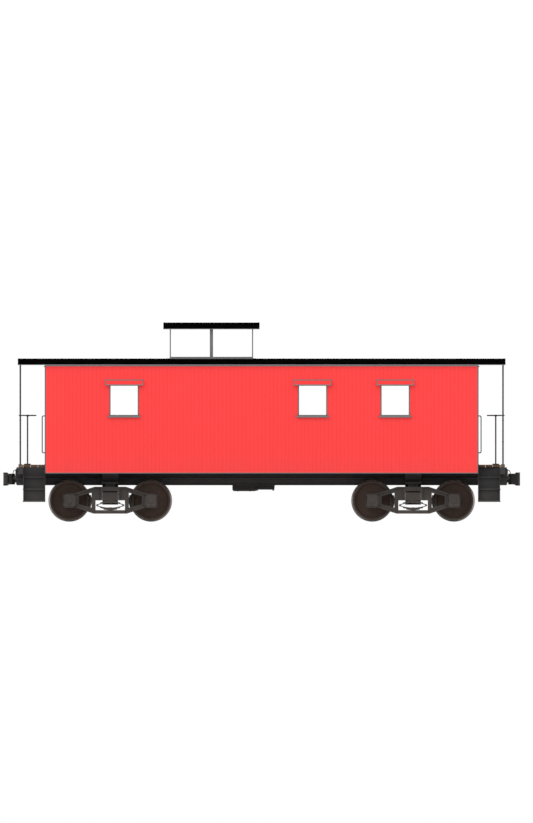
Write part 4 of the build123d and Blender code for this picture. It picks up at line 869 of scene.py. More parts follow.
class RoofOperator(Operator):
    """Both roofs with the laps of their canvas, edge battens, and the boarded ceilings under them"""

    bl_idname = "caboose.roofs"
    bl_label = "Roofs"

    def execute(self, context):
        sizes = context.scene.caboose_sizes
        cupola_low, cupola_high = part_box("cupola_frame")
        top_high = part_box("cupola_roof")[1]
        cupola_rise, cupola_board, lap, batten, flashing, sheet = 0.075, 0.035, 0.016, 0.014, 0.03, 0.002
        strip_inset, strip_depth, strip_steps = 0.012, 0.004, 36
        crowns = {
            "roof": main_arch(sizes, EAVES + sizes.roof_edge),
            "cupola_roof": Arch(top_high.y, top_high.z - cupola_rise, cupola_rise),
        }
        for node, arch in crowns.items():
            low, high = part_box(node)
            bm = smoothed_copy(node, sizes.edge_round)
            for v in bm.verts:
                if v.co.z > arch.height(v.co.y) - sizes.edge_round * 2:
                    v.co.z -= sheet
            finished(bm, f"{node}_dressed", "roof_black", (node,), weighted=True, tidy=False)
            bm = bmesh.new()
            for x in steps_between(low.x, high.x, sizes.seam_pitch):
                inside = cupola_low.x - flashing < x < cupola_high.x + flashing
                if node == "cupola_roof" or not inside:
                    arch.strip(bm, x - lap, x + lap, high.y - strip_inset, strip_depth, 0.0, strip_steps)
            for side in SIDES:
                y = side * (high.y - 0.02)
                z = arch.height(y)
                block(bm, (low.x + 0.004, y - batten, z - 0.003), (high.x - 0.004, y + batten, z + 0.005),
                      0.002)
            for x in (low.x + 0.018, high.x - 0.018):
                arch.strip(bm, x - batten, x + batten, high.y - strip_inset, strip_depth, 0.0, strip_steps)
            finished(bm, f"{node}_seams", "roof_black")

        inner, lining, near_hatch = 0.0235, 0.014, 0.05
        # Pitch of the boards and the gap between two
        ceiling, platform_ceiling = (0.095, 0.003), (0.11, 0.004)
        hatch_low, hatch_high, hatch_y = cupola_low.x + inner, cupola_high.x - inner, cupola_high.y - inner

        def beside_hatch(y):
            if y > hatch_y + near_hatch:
                return [(-INSIDE_X, INSIDE_X)]
            return [(-INSIDE_X, hatch_low), (hatch_high, INSIDE_X)]

        bm = bmesh.new()
        soffit = main_arch(sizes, EAVES)
        soffit.boards(bm, INSIDE_Y, *ceiling, 0.012, beside_hatch)
        cupola_soffit = Arch(top_high.y, top_high.z - cupola_rise - cupola_board, cupola_rise)
        cupola_soffit.boards(bm, hatch_y, *ceiling, 0.010, lambda y: [(hatch_low, hatch_high)])
        foot, top = EAVES + 0.01, cupola_low.z + 0.03
        for side in SIDES:
            block(bm, (hatch_low, side * hatch_y, foot), (hatch_high, side * (hatch_y - lining), top), 0.003)
        for x, away in ((hatch_low, lining), (hatch_high, -lining)):
            block(bm, (x, -hatch_y, foot), (x + away, hatch_y, top), 0.003)
        finished(bm, "ceiling_boards", "inside_wood")

        roof_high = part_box("roof")[1]
        bm = bmesh.new()
        for end in SIDES:
            stretch = sorted((end * (BODY_X + 0.012), end * (roof_high.x - 0.02)))
            soffit.boards(bm, roof_high.y - 0.05, *platform_ceiling, 0.008, lambda y: [stretch])
        finished(bm, "platform_ceilings", "roof_black")
        return {"FINISHED"}


class WindowOperator(Operator):
    """Side windows: sashes with glazing beads, sills, edged hoods and the casing inside"""

    bl_idname = "caboose.windows"
    bl_label = "Windows"

    def execute(self, context):
        dressed("window_sills", 0.003)
        dressed("window_sashes", 0.002)
        low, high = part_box("window_sashes")
        half_width = high.x - max(WINDOW_PLACES)
        sash, bead, pane_half, set_back = 0.020, 0.006, 0.003, 0.004
        face, middle, back = high.y, high.y - 0.025, high.y - 0.050
        casing, casing_depth, stool, horn = 0.062, 0.014, 0.04, 0.01
        beads, casings = bmesh.new(), bmesh.new()
        for centre in WINDOW_PLACES:
            left, right = centre - half_width, centre + half_width
            corners = ((left + sash, low.z + sash), (right - sash, high.z - sash))
            for side in SIDES:
                for near, far in ((middle + pane_half, face - set_back),
                                  (middle - pane_half, back + set_back)):
                    border(beads, 1, side * near, side * far, *corners, -bead)
                border(casings, 1, side * INSIDE_Y, side * (INSIDE_Y - casing_depth), (left, low.z),
                       (right, high.z), casing, 0.003)
                block(casings, (left - casing - horn, side * (INSIDE_Y - stool), low.z - 0.024),
                      (right + casing + horn, side * (back - SUNK), low.z - 0.0005), 0.006)
        finished(beads, "glazing_beads", "trim_grey")
        finished(casings, "window_casings", "inside_wood")

        low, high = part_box("window_hoods")
        edging, lip, recess = context.scene.caboose_sizes.hood_edging, 0.022, 0.003
        reach, foot, top = high.x - max(WINDOW_PLACES) - edging, low.z + lip, high.z - edging
        bm = smoothed_copy("window_hoods", 0.0015)
        cut(bm, Z * top, Z)
        cut(bm, Z * foot, Z)
        for centre in WINDOW_PLACES:
            for side in SIDES:
                cut(bm, X * (centre + side * reach), X)
        bm.normal_update()
        panels = []
        for f in bm.faces:
            middle = f.calc_center_median()
            if abs(f.normal.y) < 0.3 or f.normal.y * middle.y < 0:
                continue
            near = min(abs(middle.x - centre) for centre in WINDOW_PLACES)
            if near < reach and foot < middle.z < top and f.calc_area() > 0.01:
                panels.append(f)
            else:
                f.material_index = 1
        bmesh.ops.inset_individual(bm, faces=panels, thickness=0.002, depth=-recess)
        finished(bm, "window_hoods_edged", "red_boards", ("window_hoods",), looks=("red_trim", "trim_grey"),
                 weighted=True, tidy=False)
        return {"FINISHED"}


class CupolaOperator(Operator):
    """The cupola's glazed frame with its window stops and the flashing at its foot"""

    bl_idname = "caboose.cupola"
    bl_label = "Cupola"

    def execute(self, context):
        sizes = context.scene.caboose_sizes
        dressed("cupola_frame", 0.002)
        low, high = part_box("cupola_frame")
        crown = main_arch(sizes, EAVES + sizes.roof_edge)
        wall, stop, sill, half_post, apron, lap = 0.024, 0.012, 0.034, 0.045, 0.06, 0.03
        light_top, light_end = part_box("cupola_glass")[1].z, high.y - 2 * half_post
        bm = bmesh.new()
        for x in (low.x + wall / 2, high.x - wall / 2):
            for start, end in ((half_post, light_end), (-light_end, -half_post)):
                for way in SIDES:
                    border(bm, 0, x + way * 0.003, x + way * 0.009, (start, low.z + sill), (end, light_top),
                           -stop)
        for side in SIDES:
            block(bm, (low.x, side * (high.y - 0.004), low.z - 0.011),
                  (high.x, side * (high.y + 0.005), low.z + 0.003), 0.002)
        finished(bm, "cupola_stops", "trim_grey")
        bm = bmesh.new()
        for x, away in ((low.x, -1), (high.x, 1)):
            crown.strip(bm, *sorted((x - away * 0.002, x + away * apron)), high.y + lap, 0.004, 0.002)
            block(bm, (x - away * SUNK, -high.y, low.z - 0.02), (x + away * 0.003, high.y, low.z + 0.008),
                  0.001)
        for side in SIDES:
            y = side * (high.y + lap)
            z = crown.height(y)
            block(bm, (low.x - apron, y - lap, z - SUNK), (high.x + apron, y + lap, z + 0.004), 0.001)
        finished(bm, "cupola_flashing", "roof_black")
        return {"FINISHED"}


class FloorOperator(Operator):
    """Planks of the floor and of both platforms"""

    bl_idname = "caboose.floors"
    bl_label = "Floor and platform decks"

    def execute(self, context):
        sizes = context.scene.caboose_sizes
        bm = bmesh.new()
        planks(bm, 0, *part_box("floor"), sizes)
        finished(bm, "floor_planks", "boards", ("floor",))

        low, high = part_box("platform_decks")
        step_half, outer_x = 0.93, 5.04
        bm = bmesh.new()
        for end in SIDES:
            start, stop = sorted((end * BODY_X, end * outer_x))
            planks(bm, 1, (start, -step_half, low.z), (stop, step_half, high.z), sizes)
            block(bm, (end * (outer_x + 0.002), low.y, low.z), (end * high.x, high.y, high.z), 0.004)
            for y in (-1.2, -0.8, -0.4, 0.0, 0.4, 0.8, 1.2):
                bolt(bm, (end * (outer_x + 0.05), y, high.z), Z, 0.02, 0.003, 8)
        finished(bm, "deck_planks", "boards", ("platform_decks",), looks=("deck_boards",))
        return {"FINISHED"}


class UnderframeOperator(Operator):
    """Rolled steel of the underframe with its rivets, and the steps with ribbed treads"""

    bl_idname = "caboose.underframe"
    bl_label = "Underframe and steps"

    def execute(self, context):
        sizes = context.scene.caboose_sizes
        for node in ("centre_sill", "side_sills", "body_bolsters", "cross_bearers", "body_end_sills",
                     "platform_end_sills", "steps"):
            dressed(node, sizes.edge_round)
        low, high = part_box("centre_sill")
        web_y, row_inset, row_end, row_start = 0.178, 0.036, 0.08, 0.30
        bolster_half, bolster_z = 0.15, low.z + 0.31
        deck_end, striker_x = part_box("platform_decks")[1].x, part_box("platform_end_sills")[1].x
        pitch = sizes.rivet_pitch
        bm = bmesh.new()
        for side in SIDES:
            for z in (low.z + row_inset, high.z - row_inset):
                rivets(bm, (low.x + row_end, side * web_y, z), (high.x - row_end, side * web_y, z), pitch,
                       side * Y)
        for end, side in CORNERS:
            for z in (FLOOR_UNDERSIDE - 0.03, FLOOR_UNDERSIDE - 0.115):
                rivets(bm, (end * deck_end, side * row_start, z), (end * deck_end, side * 1.34, z), pitch,
                       end * X)
            for z in (low.z + 0.04, low.z + 0.19, FLOOR_UNDERSIDE - 0.04):
                bolt(bm, (end * striker_x, side * 0.17, z), end * X, 0.034, 0.012)
        for place in TRUCK_PLACES.values():
            for side in SIDES:
                for x in (place - bolster_half, place + bolster_half):
                    rivets(bm, (x, side * row_start, bolster_z), (x, side * 1.20, bolster_z), pitch, -Z)
        finished(bm, "underframe_rivets", "frame_black")

        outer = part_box("steps")[1].x
        tread_z, rise, first_y, run = 0.4454, 0.25333, 1.32, 0.1375
        depth, plate, nose, ribs, inset, rib_half = 0.23, 0.012, 0.009, 5, 0.02, 0.005
        bm = bmesh.new()
        for end, side in CORNERS:
            near, far = end * (BODY_X + plate), end * (outer - plate)
            for index in range(3):
                y, z = first_y - run * index, tread_z + rise * index
                for rib in range(ribs):
                    rib_y = side * (y + depth * ((rib + 0.6) / ribs - 0.5))
                    block(bm, (near + end * inset, rib_y - rib_half, z - SUNK),
                          (far - end * inset, rib_y + rib_half, z + 0.003), 0.0015, 1)
                edge = side * (y + depth / 2 - nose)
                bar(bm, [(near, edge, z - nose), (far, edge, z - nose)], nose + 0.0015, 12)
                for offset in (-0.07, 0.07):
                    bolt(bm, (end * outer, side * y + offset, z - 0.014), end * X, 0.022, 0.010)
        finished(bm, "step_fittings", "frame_black")
        return {"FINISHED"}


class DoorOperator(Operator):
    """End doors of stiles, rails and fielded panels, with beads, hinges and turned knobs"""

    bl_idname = "caboose.doors"
    bl_label = "Doors"

    def execute(self, context):
        sizes = context.scene.caboose_sizes
        half, height, thickness = sizes.door_width / 2, sizes.door_height, sizes.door_thickness
        open_half, light_height, light_top = 0.22, 0.62, 0.19
        panel_bottom, panel_height, panel_half, pane_half, bead = 0.20, 0.70, 0.0125, 0.003, 0.011
        field_half, margin, set_back, tenon = 0.018, 0.055, 0.0004, 0.0005
        hinge_x, hinge_radius, knuckle, leaf_x = INSIDE_X - 0.011, 0.011, 0.036, INSIDE_X - 0.006
        pin_height, plate_half, plate_depth = 0.005, 0.034, 0.004
        knob = rounded([(0.0, 0.048, 0.0), (0.026, 0.048, 0.012), (0.026, 0.028, 0.010),
                        (0.010, 0.022, 0.006), (0.010, 0.005, 0.003), (0.030, 0.005, 0.002),
                        (0.030, -0.001, 0.0), (0.0, -0.001, 0.0)])
        for name, end in (("front", 1), ("rear", -1)):
            body, foot = f"door_{name}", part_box(f"door_{name}")[0].z
            inner, outer = end * INSIDE_X, end * (INSIDE_X + thickness)
            middle, top = (inner + outer) / 2, foot + height
            light = ((-open_half, top - light_top - light_height), (open_half, top - light_top))
            panel = ((-open_half, foot + panel_bottom), (open_half, foot + panel_bottom + panel_height))
            bm = bmesh.new()
            for side in SIDES:
                block(bm, (inner, side * open_half, foot), (outer, side * half, top), 0.002)
            for bottom, head in ((foot, panel[0][1]), (panel[1][1], light[0][1]), (light[1][1], top)):
                block(bm, (inner + end * set_back, -open_half - tenon, bottom),
                      (outer - end * set_back, open_half + tenon, head), 0.0015)
            block(bm, (middle - panel_half, *panel[0]), (middle + panel_half, *panel[1]))
            block(bm, (middle - field_half, -open_half + margin, panel[0][1] + margin),
                  (middle + field_half, open_half - margin, panel[1][1] - margin), 0.007, 3)
            for face, way in ((outer, end), (inner, -end)):
                border(bm, 0, middle + way * panel_half, face - way * 0.003, *panel, -bead, 0.003)
                border(bm, 0, middle + way * pane_half, face - way * 0.003, *light, -bead, 0.003)
            finished(bm, f"{body}_joinery", "red_boards", (body,), body, ("red_trim",))

            x, y = end * hinge_x, end * (half + 0.005)
            bm = bmesh.new()
            for rise in (0.26, 1.70):
                z = foot + rise
                top = z + knuckle
                bar(bm, [(x, y, z), (x, y, top)], hinge_radius, 24)
                bar(bm, [(x, y, top - SUNK), (x, y, top + pin_height)], 0.007, 16)
                block(bm, (end * leaf_x, y, z), (inner + end * 0.0005, y - end * 0.06, top), 0.001)
                for reach in (0.026, 0.048):
                    bolt(bm, (end * leaf_x, y - end * reach, z + knuckle / 2), -end * X, 0.010, 0.002, 12)
            finished(bm, f"{body}_hinges", "red_boards", (body,), body, ("cast_black",))

            y, z = -end * (half - 0.07), foot + 0.98
            face = outer + end * plate_depth
            bm = bmesh.new()
            lathe(bm, knob, (outer, y, z), end * X, 32, Y)
            block(bm, (outer - end * SUNK, y - plate_half, z - 0.12), (face, y + plate_half, z + 0.055),
                  0.002)
            lathe(bm, knob, (inner, y, z), -end * X, 32, Y)
            for screw_z in (z - 0.105, z + 0.04):
                bolt(bm, (face, y, screw_z), end * X, 0.009, 0.002, 12)
            finished(bm, f"{body}_knob", "red_boards", (body,), body, ("brass",))
        return {"FINISHED"}


class RailingOperator(Operator):
    """Platform railings and grab irons of round and square bar"""

    bl_idname = "caboose.railings"
    bl_label = "Railings and grab irons"

    def execute(self, context):
        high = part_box("end_railings")[1]
        half_post, foot_plate, foot_top, cap, rod = 0.017, 0.040, FLOOR_TOP + 0.010, 0.030, 0.014
        rail_x, corner_y, gate_y = high.x - half_post, high.y - half_post, 0.34
        collar, collar_half, collar_inset = 0.021, 0.009, 0.020
        gate_top = FLOOR_TOP + context.scene.caboose_sizes.railing_height
        bm = bmesh.new()
        for end, side in CORNERS:
            x, corner, gate = end * rail_x, side * corner_y, side * gate_y
            for y, top in ((corner, high.z), (gate, gate_top)):
                block(bm, (x - half_post, y - half_post, FLOOR_TOP), (x + half_post, y + half_post, top),
                      0.004)
                block(bm, (x - foot_plate, y - foot_plate, FLOOR_TOP - SUNK),
                      (x + 0.038, y + foot_plate, foot_top), 0.003)
                for along in (-0.028, 0.028):
                    bolt(bm, (x, y + along, foot_top), Z, 0.014, 0.007)
            block(bm, (x - cap, corner - cap, high.z - 0.024), (x + cap, corner + cap, high.z - 0.012), 0.003)
            bar(bm, [(x, gate, gate_top - 0.002), (x, gate, gate_top + 0.004)], rod, 16)
            for z in ((FLOOR_TOP + gate_top) / 2, gate_top - 2 * rod):
                bar(bm, [(x, gate, z), (x, corner, z)], rod, 16)
                for y in (gate_y + collar_inset, corner_y - collar_inset):
                    bar(bm, [(x, side * (y - collar_half), z), (x, side * (y + collar_half), z)], collar, 16)
        finished(bm, "end_railings_round", "frame_black", ("end_railings",))

        low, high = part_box("grab_irons")
        iron, bend, rosette, plate = 0.011, 0.03, 0.026, 0.006
        foot, top = low.z + iron, high.z - iron
        bm = bmesh.new()
        for end, side in CORNERS:
            wall, out, y = end * BODY_X, end * (high.x - iron), side * (high.y - iron)
            face = wall + end * plate
            bar(bm, bent([(wall, y, foot), (out, y, foot), (out, y, top), (wall, y, top)], bend), iron, 12)
            for z in (foot, top):
                bar(bm, [(wall - end * SUNK, y, z), (face, y, z)], rosette, 16)
                for place in (z - 0.018, z + 0.018):
                    bolt(bm, (face, y, place), end * X, 0.010, 0.004)
        finished(bm, "grab_irons_round", "frame_black", ("grab_irons",))
        return {"FINISHED"}


class HandBrakeOperator(Operator):
    """Hand brake wheels with their staffs, ratchets and pawls"""

    bl_idname = "caboose.hand_brakes"
    bl_label = "Hand brakes"

    def execute(self, context):
        low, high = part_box("hand_brakes")
        major, minor, spokes, teeth, facets = 0.177, 0.013, 5, 16, 12
        staff, spoke = 0.015, 0.0075
        staff_x, staff_y, wheel_z = high.x - major - minor, 0.62, high.z - 0.02
        plate_half, plate_top, bolt_reach = 0.075, FLOOR_TOP + 0.010, 0.06
        ring = [(major + minor * math.cos(a), minor * math.sin(a))
                for a in (FULL_TURN * index / facets for index in range(facets))]
        hub = rounded([(0.0, -0.02, 0.0), (0.034, -0.02, 0.006), (0.034, 0.012, 0.008), (0.0, 0.02, 0.0)])
        bm = bmesh.new()
        for end in SIDES:
            centre = Vector((end * staff_x, end * staff_y, wheel_z))
            x, y = centre.xy
            lathe(bm, ring, centre, Z, 64, closed=True)
            lathe(bm, hub, centre, Z, 24)
            for index in range(spokes):
                turn = FULL_TURN * index / spokes
                way = Vector((math.cos(turn), math.sin(turn), 0.0))
                bar(bm, [centre + way * 0.024 + Z * 0.004, centre + way * 0.10 + Z * 0.008,
                         centre + way * (major - 0.004)], spoke, 10)
            bar(bm, [(x, y, low.z), (x, y, wheel_z)], staff, 16)
            block(bm, (x - plate_half, y - plate_half, FLOOR_TOP),
                  (x + plate_half, y + plate_half, plate_top), 0.002)
            outline = []
            for index in range(teeth):
                for radius, share in ((0.058, 0.0), (0.046, 0.25)):
                    turn = FULL_TURN * (index + share) / teeth
                    outline.append((x + radius * math.cos(turn), y + radius * math.sin(turn), plate_top))
            prism(bm, outline, Z * 0.012)
            block(bm, (x - 0.070, y + 0.045, plate_top - SUNK), (x - 0.010, y + 0.062, plate_top + 0.009),
                  0.003)
            for across, along in CORNERS:
                bolt(bm, (x + along * bolt_reach, y + across * bolt_reach, plate_top), Z, 0.016, 0.008)
        finished(bm, "hand_brakes_round", "frame_black", ("hand_brakes",))
        return {"FINISHED"}


class CouplerOperator(Operator):
    """Couplers with their knuckles, pins and round uncoupling levers"""

    bl_idname = "caboose.couplers"
    bl_label = "Couplers"

    def execute(self, context):
        for node in ("couplers", "knuckles"):
            dressed(node, context.scene.caboose_sizes.casting_round, 3)
        low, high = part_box("couplers")
        head_x, pin_y, cotter, cotter_half = 5.39, 0.13, 0.005, 0.05
        cap = rounded([(0.0, 0.020, 0.0), (0.034, 0.018, 0.010), (0.034, -0.004, 0.0), (0.0, -0.004, 0.0)])
        bm = bmesh.new()
        for end in SIDES:
            x, y, z = end * head_x, end * pin_y, low.z - 0.010
            lathe(bm, cap, (x, y, high.z), Z, 32)
            lathe(bm, cap, (x, y, low.z), -Z, 32)
            bar(bm, [(x - cotter_half, y, z), (x + cotter_half, y, z)], cotter, 10)
        finished(bm, "knuckle_pins", "cast_black")

        lever, collar, arm, arm_y, arm_reach = 0.012, 0.019, 0.008, 0.08, 0.045
        lever_x, lever_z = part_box("uncoupling_levers")[1].x - lever, 1.0904
        bend_y, end_y, handle_z = 1.18, 1.30, 0.9204
        bearing, plate_half, plate_rise = 0.015, 0.045, 0.020
        sill_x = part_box("platform_decks")[1].x
        plate_x = sill_x + 0.006
        arm_end = (head_x - 0.13, high.z - 0.004)
        bm = bmesh.new()
        for end in SIDES:
            x = end * lever_x
            tip = (x, end * end_y, handle_z)
            bar(bm, bent([(x, end * 0.06, lever_z), (x, end * bend_y, lever_z), tip], 0.035), lever, 16)
            bar(bm, [(x, end * (end_y - 0.014), handle_z + 0.02), tip], lever + 0.004, 16)
            for y in (end * 0.42, end * 1.10):
                block(bm, (end * sill_x, y - bearing, lever_z - lever), (x, y + bearing, lever_z + lever),
                      0.002)
                bar(bm, [(x, y - bearing, lever_z), (x, y + bearing, lever_z)], collar, 20)
                block(bm, (end * sill_x, y - plate_half, lever_z - plate_rise),
                      (end * plate_x, y + plate_half, lever_z + plate_rise), 0.002)
                for offset in (-0.032, 0.032):
                    bolt(bm, (end * plate_x, y + offset, lever_z), end * X, 0.016, 0.007)
            bar(bm, bent([(x, end * arm_y, lever_z), (x + end * arm_reach, end * arm_y, lever_z - 0.006),
                          (end * arm_end[0], end * arm_y, arm_end[1])], 0.02), arm, 12)
        finished(bm, "uncoupling_levers_round", "frame_black", ("uncoupling_levers",))
        return {"FINISHED"}


class AirBrakeOperator(Operator):
    """Brake cylinder with its reservoir, and the train pipe with its couplings and cocks"""

    bl_idname = "caboose.air_brake"
    bl_label = "Air brake"

    def execute(self, context):
        low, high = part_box("brake_cylinder")
        y, z = (low.y + high.y) / 2, low.z + 0.178
        centre = Vector((0.0, y, z))
        tank = [(0.0, -0.62, 0.0), (0.178, -0.62, 0.045), (0.178, -0.10, 0.045), (0.158, -0.10, 0.0)]
        cylinder = [(0.166, -0.118, 0.004), (0.166, -0.088, 0.004), (0.146, -0.088, 0.004),
                    (0.146, 0.238, 0.004), (0.166, 0.238, 0.004), (0.166, 0.262, 0.006),
                    (0.120, 0.272, 0.010), (0.045, 0.280, 0.010), (0.040, 0.296, 0.004),
                    (0.022, 0.296, 0.003), (0.022, 0.520, 0.004), (0.0, 0.520, 0.0)]
        flange_bolts, bolt_circle, band, band_half = 10, 0.156, (0.174, 0.182), 0.02
        bm = bmesh.new()
        lathe(bm, rounded(tank + cylinder), centre, X, 64, Z)
        for x, way in ((-0.088, 1), (0.238, -1)):
            for index in range(flange_bolts):
                turn = FULL_TURN * (index + 0.5) / flange_bolts
                ring = Vector((x, bolt_circle * math.cos(turn), bolt_circle * math.sin(turn)))
                bolt(bm, centre + ring, way * X, 0.018, 0.012)
        for x in (-0.50, -0.24):
            lathe(bm, [(band[0], x - band_half), (band[1], x - band_half), (band[1], x + band_half),
                       (band[0], x + band_half)], centre, X, 64, Z, closed=True)
        for side in SIDES:
            block(bm, (side * 0.67, y - 0.08, z), (side * 0.73, y + 0.08, high.z), 0.004)
            for across in (-0.05, 0.05):
                bolt(bm, (side * 0.73, y + across, z + 0.03), side * X, 0.022, 0.010)
        block(bm, (low.x, y - 0.045, z - 0.02), (high.x, y + 0.045, z + 0.02), 0.004)
        finished(bm, "brake_cylinder_turned", "cast_black", ("brake_cylinder",))

        low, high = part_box("brake_pipe")
        y, z = (low.y + high.y) / 2, (low.z + high.z) / 2
        hangers, hanger, clamp, clamp_half = (-1.9, -0.7, 0.7, 1.9), 0.007, 0.026, 0.015
        pipe, coupling, coupling_half, bearers_z = 0.021, 0.028, 0.035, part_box("cross_bearers")[0].z
        bm = bmesh.new()
        bar(bm, [(low.x, y, z), (high.x, y, z)], pipe, 24)
        for x in (-4.6, -1.2, 1.2, 4.6):
            bar(bm, [(x - coupling_half, y, z), (x + coupling_half, y, z)], coupling, 24)
        for x in (-4.85, *hangers, 4.85):
            block(bm, (x - clamp_half, y - clamp, z - clamp), (x + clamp_half, y + clamp, z + clamp), 0.004)
        for x in hangers:
            bar(bm, [(x, y, z + 0.02), (x, y, bearers_z + 0.002)], hanger, 12)
        finished(bm, "brake_pipe_round", "frame_black", ("brake_pipe",))
        dressed("angle_cocks", context.scene.caboose_sizes.edge_round)
        return {"FINISHED"}


class TruckOperator(Operator):
    """Cast side frames, bolsters, springs and brake gear of both trucks, with lids, bands and bolts"""

    bl_idname = "caboose.trucks"
    bl_label = "Trucks"

    def execute(self, context):
        sizes = context.scene.caboose_sizes
        pieces = (("side_frames", sizes.casting_round, 3), ("brakes", sizes.edge_round, 2),
                  ("bolster", sizes.casting_round, 3), ("springs", 0.0015, 1))
        half_base = (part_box("axle_1")[0].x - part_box("axle_2")[0].x) / 2
        frame_y, spring_y, band_x, band_y, band_height = 1.038, 0.978, 0.030, 0.056, 0.060
        lid_top, lid_foot, hinge_in = AXLE_HEIGHT + 0.124, AXLE_HEIGHT - 0.124, 0.016
        hinge, hinge_half, knuckle, knuckle_half, hasp = 0.011, 0.070, 0.017, 0.008, 0.006
        dome = rounded([(0.0, 0.012, 0.0), (0.066, 0.010, 0.012), (0.074, -0.001, 0.0), (0.0, -0.001, 0.0)])
        for end, place in TRUCK_PLACES.items():
            body = f"truck_{end}"
            for piece, width, segments in pieces:
                dressed(f"{body}_{piece}", width, segments)
            lid_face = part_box(f"{body}_side_frames")[1].y
            bm = bmesh.new()
            for side in SIDES:
                for axle in SIDES:
                    x, y = place + axle * half_base, side * lid_face
                    lathe(bm, dome, (x, y - side * 0.0005, AXLE_HEIGHT), side * Y, 40)
                    hinge_y, z, out = y - side * hinge_in, lid_top + 0.006, y + side * 0.007
                    bar(bm, [(x - hinge_half, hinge_y, z), (x + hinge_half, hinge_y, z)], hinge, 16)
                    for offset in (-0.076, 0.076):
                        bar(bm, [(x + offset - knuckle_half, hinge_y, z),
                                 (x + offset + knuckle_half, hinge_y, z)], knuckle, 16)
                    bar(bm, bent([(x, y - side * 0.030, lid_foot - 0.012), (x, out, lid_foot - 0.006),
                                  (x, out, lid_foot + 0.040)], 0.010), hasp, 10)
                    for offset in (-0.118, 0.118):
                        for z in (AXLE_HEIGHT - 0.10, AXLE_HEIGHT + 0.10):
                            bolt(bm, (x + offset, y - side * 0.018, z), side * Y, 0.020, 0.008)
                for offset in (-0.215, 0.215):
                    for z in (0.50, 0.60, 0.68):
                        bolt(bm, (place + offset, side * frame_y, z), side * Y, 0.026, 0.012)
            finished(bm, f"{body}_fittings", "cast_black", body=body)

            low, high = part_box(f"{body}_springs")
            bm = bmesh.new()
            for side in SIDES:
                for foot, top in ((low.z - 0.003, low.z + band_height),
                                  (high.z - band_height, high.z + 0.003)):
                    block(bm, (place - band_x, side * (spring_y - band_y), foot),
                          (place + band_x, side * (spring_y + band_y), top), 0.004)
            finished(bm, f"{body}_spring_bands", "cast_black", body=body)
        return {"FINISHED"}


class WheelOperator(Operator):
    """Turned wheels with flange, coned tread and dished plate, and their axles"""

    bl_idname = "caboose.wheels"
    bl_label = "Wheels and axles"

    def execute(self, context):
        steps = context.scene.caboose_sizes.wheel_steps
        wheel = [(0.0820, 0.6765, 0.0), (0.1300, 0.6765, 0.012), (0.1500, 0.6870, 0.015),
                 (0.3450, 0.6870, 0.015), (0.3620, 0.6765, 0.010), (0.4442, 0.6765, 0.012),
                 (0.4442, 0.7020, 0.012), (0.4200, 0.7150, 0.010), (0.4140, 0.8165, 0.010),
                 (0.3680, 0.8165, 0.006), (0.3620, 0.7400, 0.018), (0.3300, 0.7215, 0.020),
                 (0.2000, 0.7215, 0.030), (0.1400, 0.7400, 0.020), (0.1320, 0.8305, 0.008),
                 (0.0820, 0.8305, 0.0)]
        axle_end, holes, hole_circle = 1.085, 3, 0.034
        half_axle = [(0.082, 0.660, 0.012), (0.082, 0.846, 0.004), (0.066, 0.856, 0.004),
                     (0.062, 0.868, 0.002), (0.062, axle_end, 0.006), (0.0, axle_end, 0.0)]
        axle = [(radius, -along, round_off) for radius, along, round_off in reversed(half_axle)]
        axle += [(0.070, -0.45, 0.10), (0.068, 0.0, 0.10), (0.070, 0.45, 0.10)] + half_axle
        for index in WHEELSETS:
            centre, body = middle_of(f"axle_{index}"), NODE_BODY[f"axle_{index}"]
            looks = (f"wheel_steel_{index}",)
            bm = bmesh.new()
            for side in SIDES:
                lathe(bm, rounded(wheel), centre, side * Y, steps, closed=True)
            finished(bm, f"wheels_{index}_turned", "wheel_steel", (f"wheels_{index}",), body, looks,
                     crease=50.0)
            bm = bmesh.new()
            lathe(bm, rounded(axle), centre, Y, 48)
            for side in SIDES:
                for hole in range(holes):
                    turn = FULL_TURN * hole / holes
                    x, z = hole_circle * math.cos(turn), hole_circle * math.sin(turn)
                    bolt(bm, centre + Vector((x, side * axle_end, z)), side * Y, 0.014, 0.002)
            finished(bm, f"axle_{index}_turned", "wheel_steel", (f"axle_{index}",), body, looks)
        return {"FINISHED"}


class InsideOperator(Operator):
    """Lockers, benches and desk with their panel frames, lids, drawers and knobs"""

    bl_idname = "caboose.inside"
    bl_label = "Inside"

    def execute(self, context):
        for node in ("cupola_lockers", "benches", "desk"):
            dressed(node, 0.004)
        strip, thin, doors, knob, drawer_knob = 0.055, 0.012, 3, 0.012, 0.011
        fronts = ((*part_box("cupola_lockers"), 0.56), (*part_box("benches"), 0.815))
        bm = bmesh.new()
        for side in SIDES:
            for low, high, face in fronts:
                front, width = side * (face - thin), (high.x - low.x) / doors
                for index in range(doors):
                    start, stop = low.x + width * index + thin, low.x + width * index + width - thin
                    foot, top = FLOOR_TOP + 0.08, high.z - 0.03
                    border(bm, 1, side * (face + SUNK), front, (start, foot), (stop, top), -strip, 0.003)
                    x, z = stop - strip / 2, (foot + top) / 2
                    bar(bm, [(x, front, z), (x, side * (face - thin - 0.02), z)], knob, 16)
                block(bm, (low.x - 0.006, side * (face - 0.018), high.z - 0.004),
                      (high.x + 0.006, side * INSIDE_Y, high.z + 0.016), 0.005)
        low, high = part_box("desk")
        drawer_width, drawer_y, knob_z = 0.38, high.y + thin, high.z - 0.106
        for start in (low.x + 0.08, low.x + 0.54):
            block(bm, (start, high.y - 0.05, high.z - 0.16), (start + drawer_width, drawer_y, high.z - 0.052),
                  0.004)
            x = start + drawer_width / 2
            bar(bm, [(x, drawer_y, knob_z), (x, drawer_y + 0.02, knob_z)], drawer_knob, 16)
        block(bm, (low.x - 0.012, low.y, high.z), (high.x + 0.012, high.y + 0.02, high.z + 0.014), 0.005)
        finished(bm, "inside_joinery", "inside_wood")
        return {"FINISHED"}


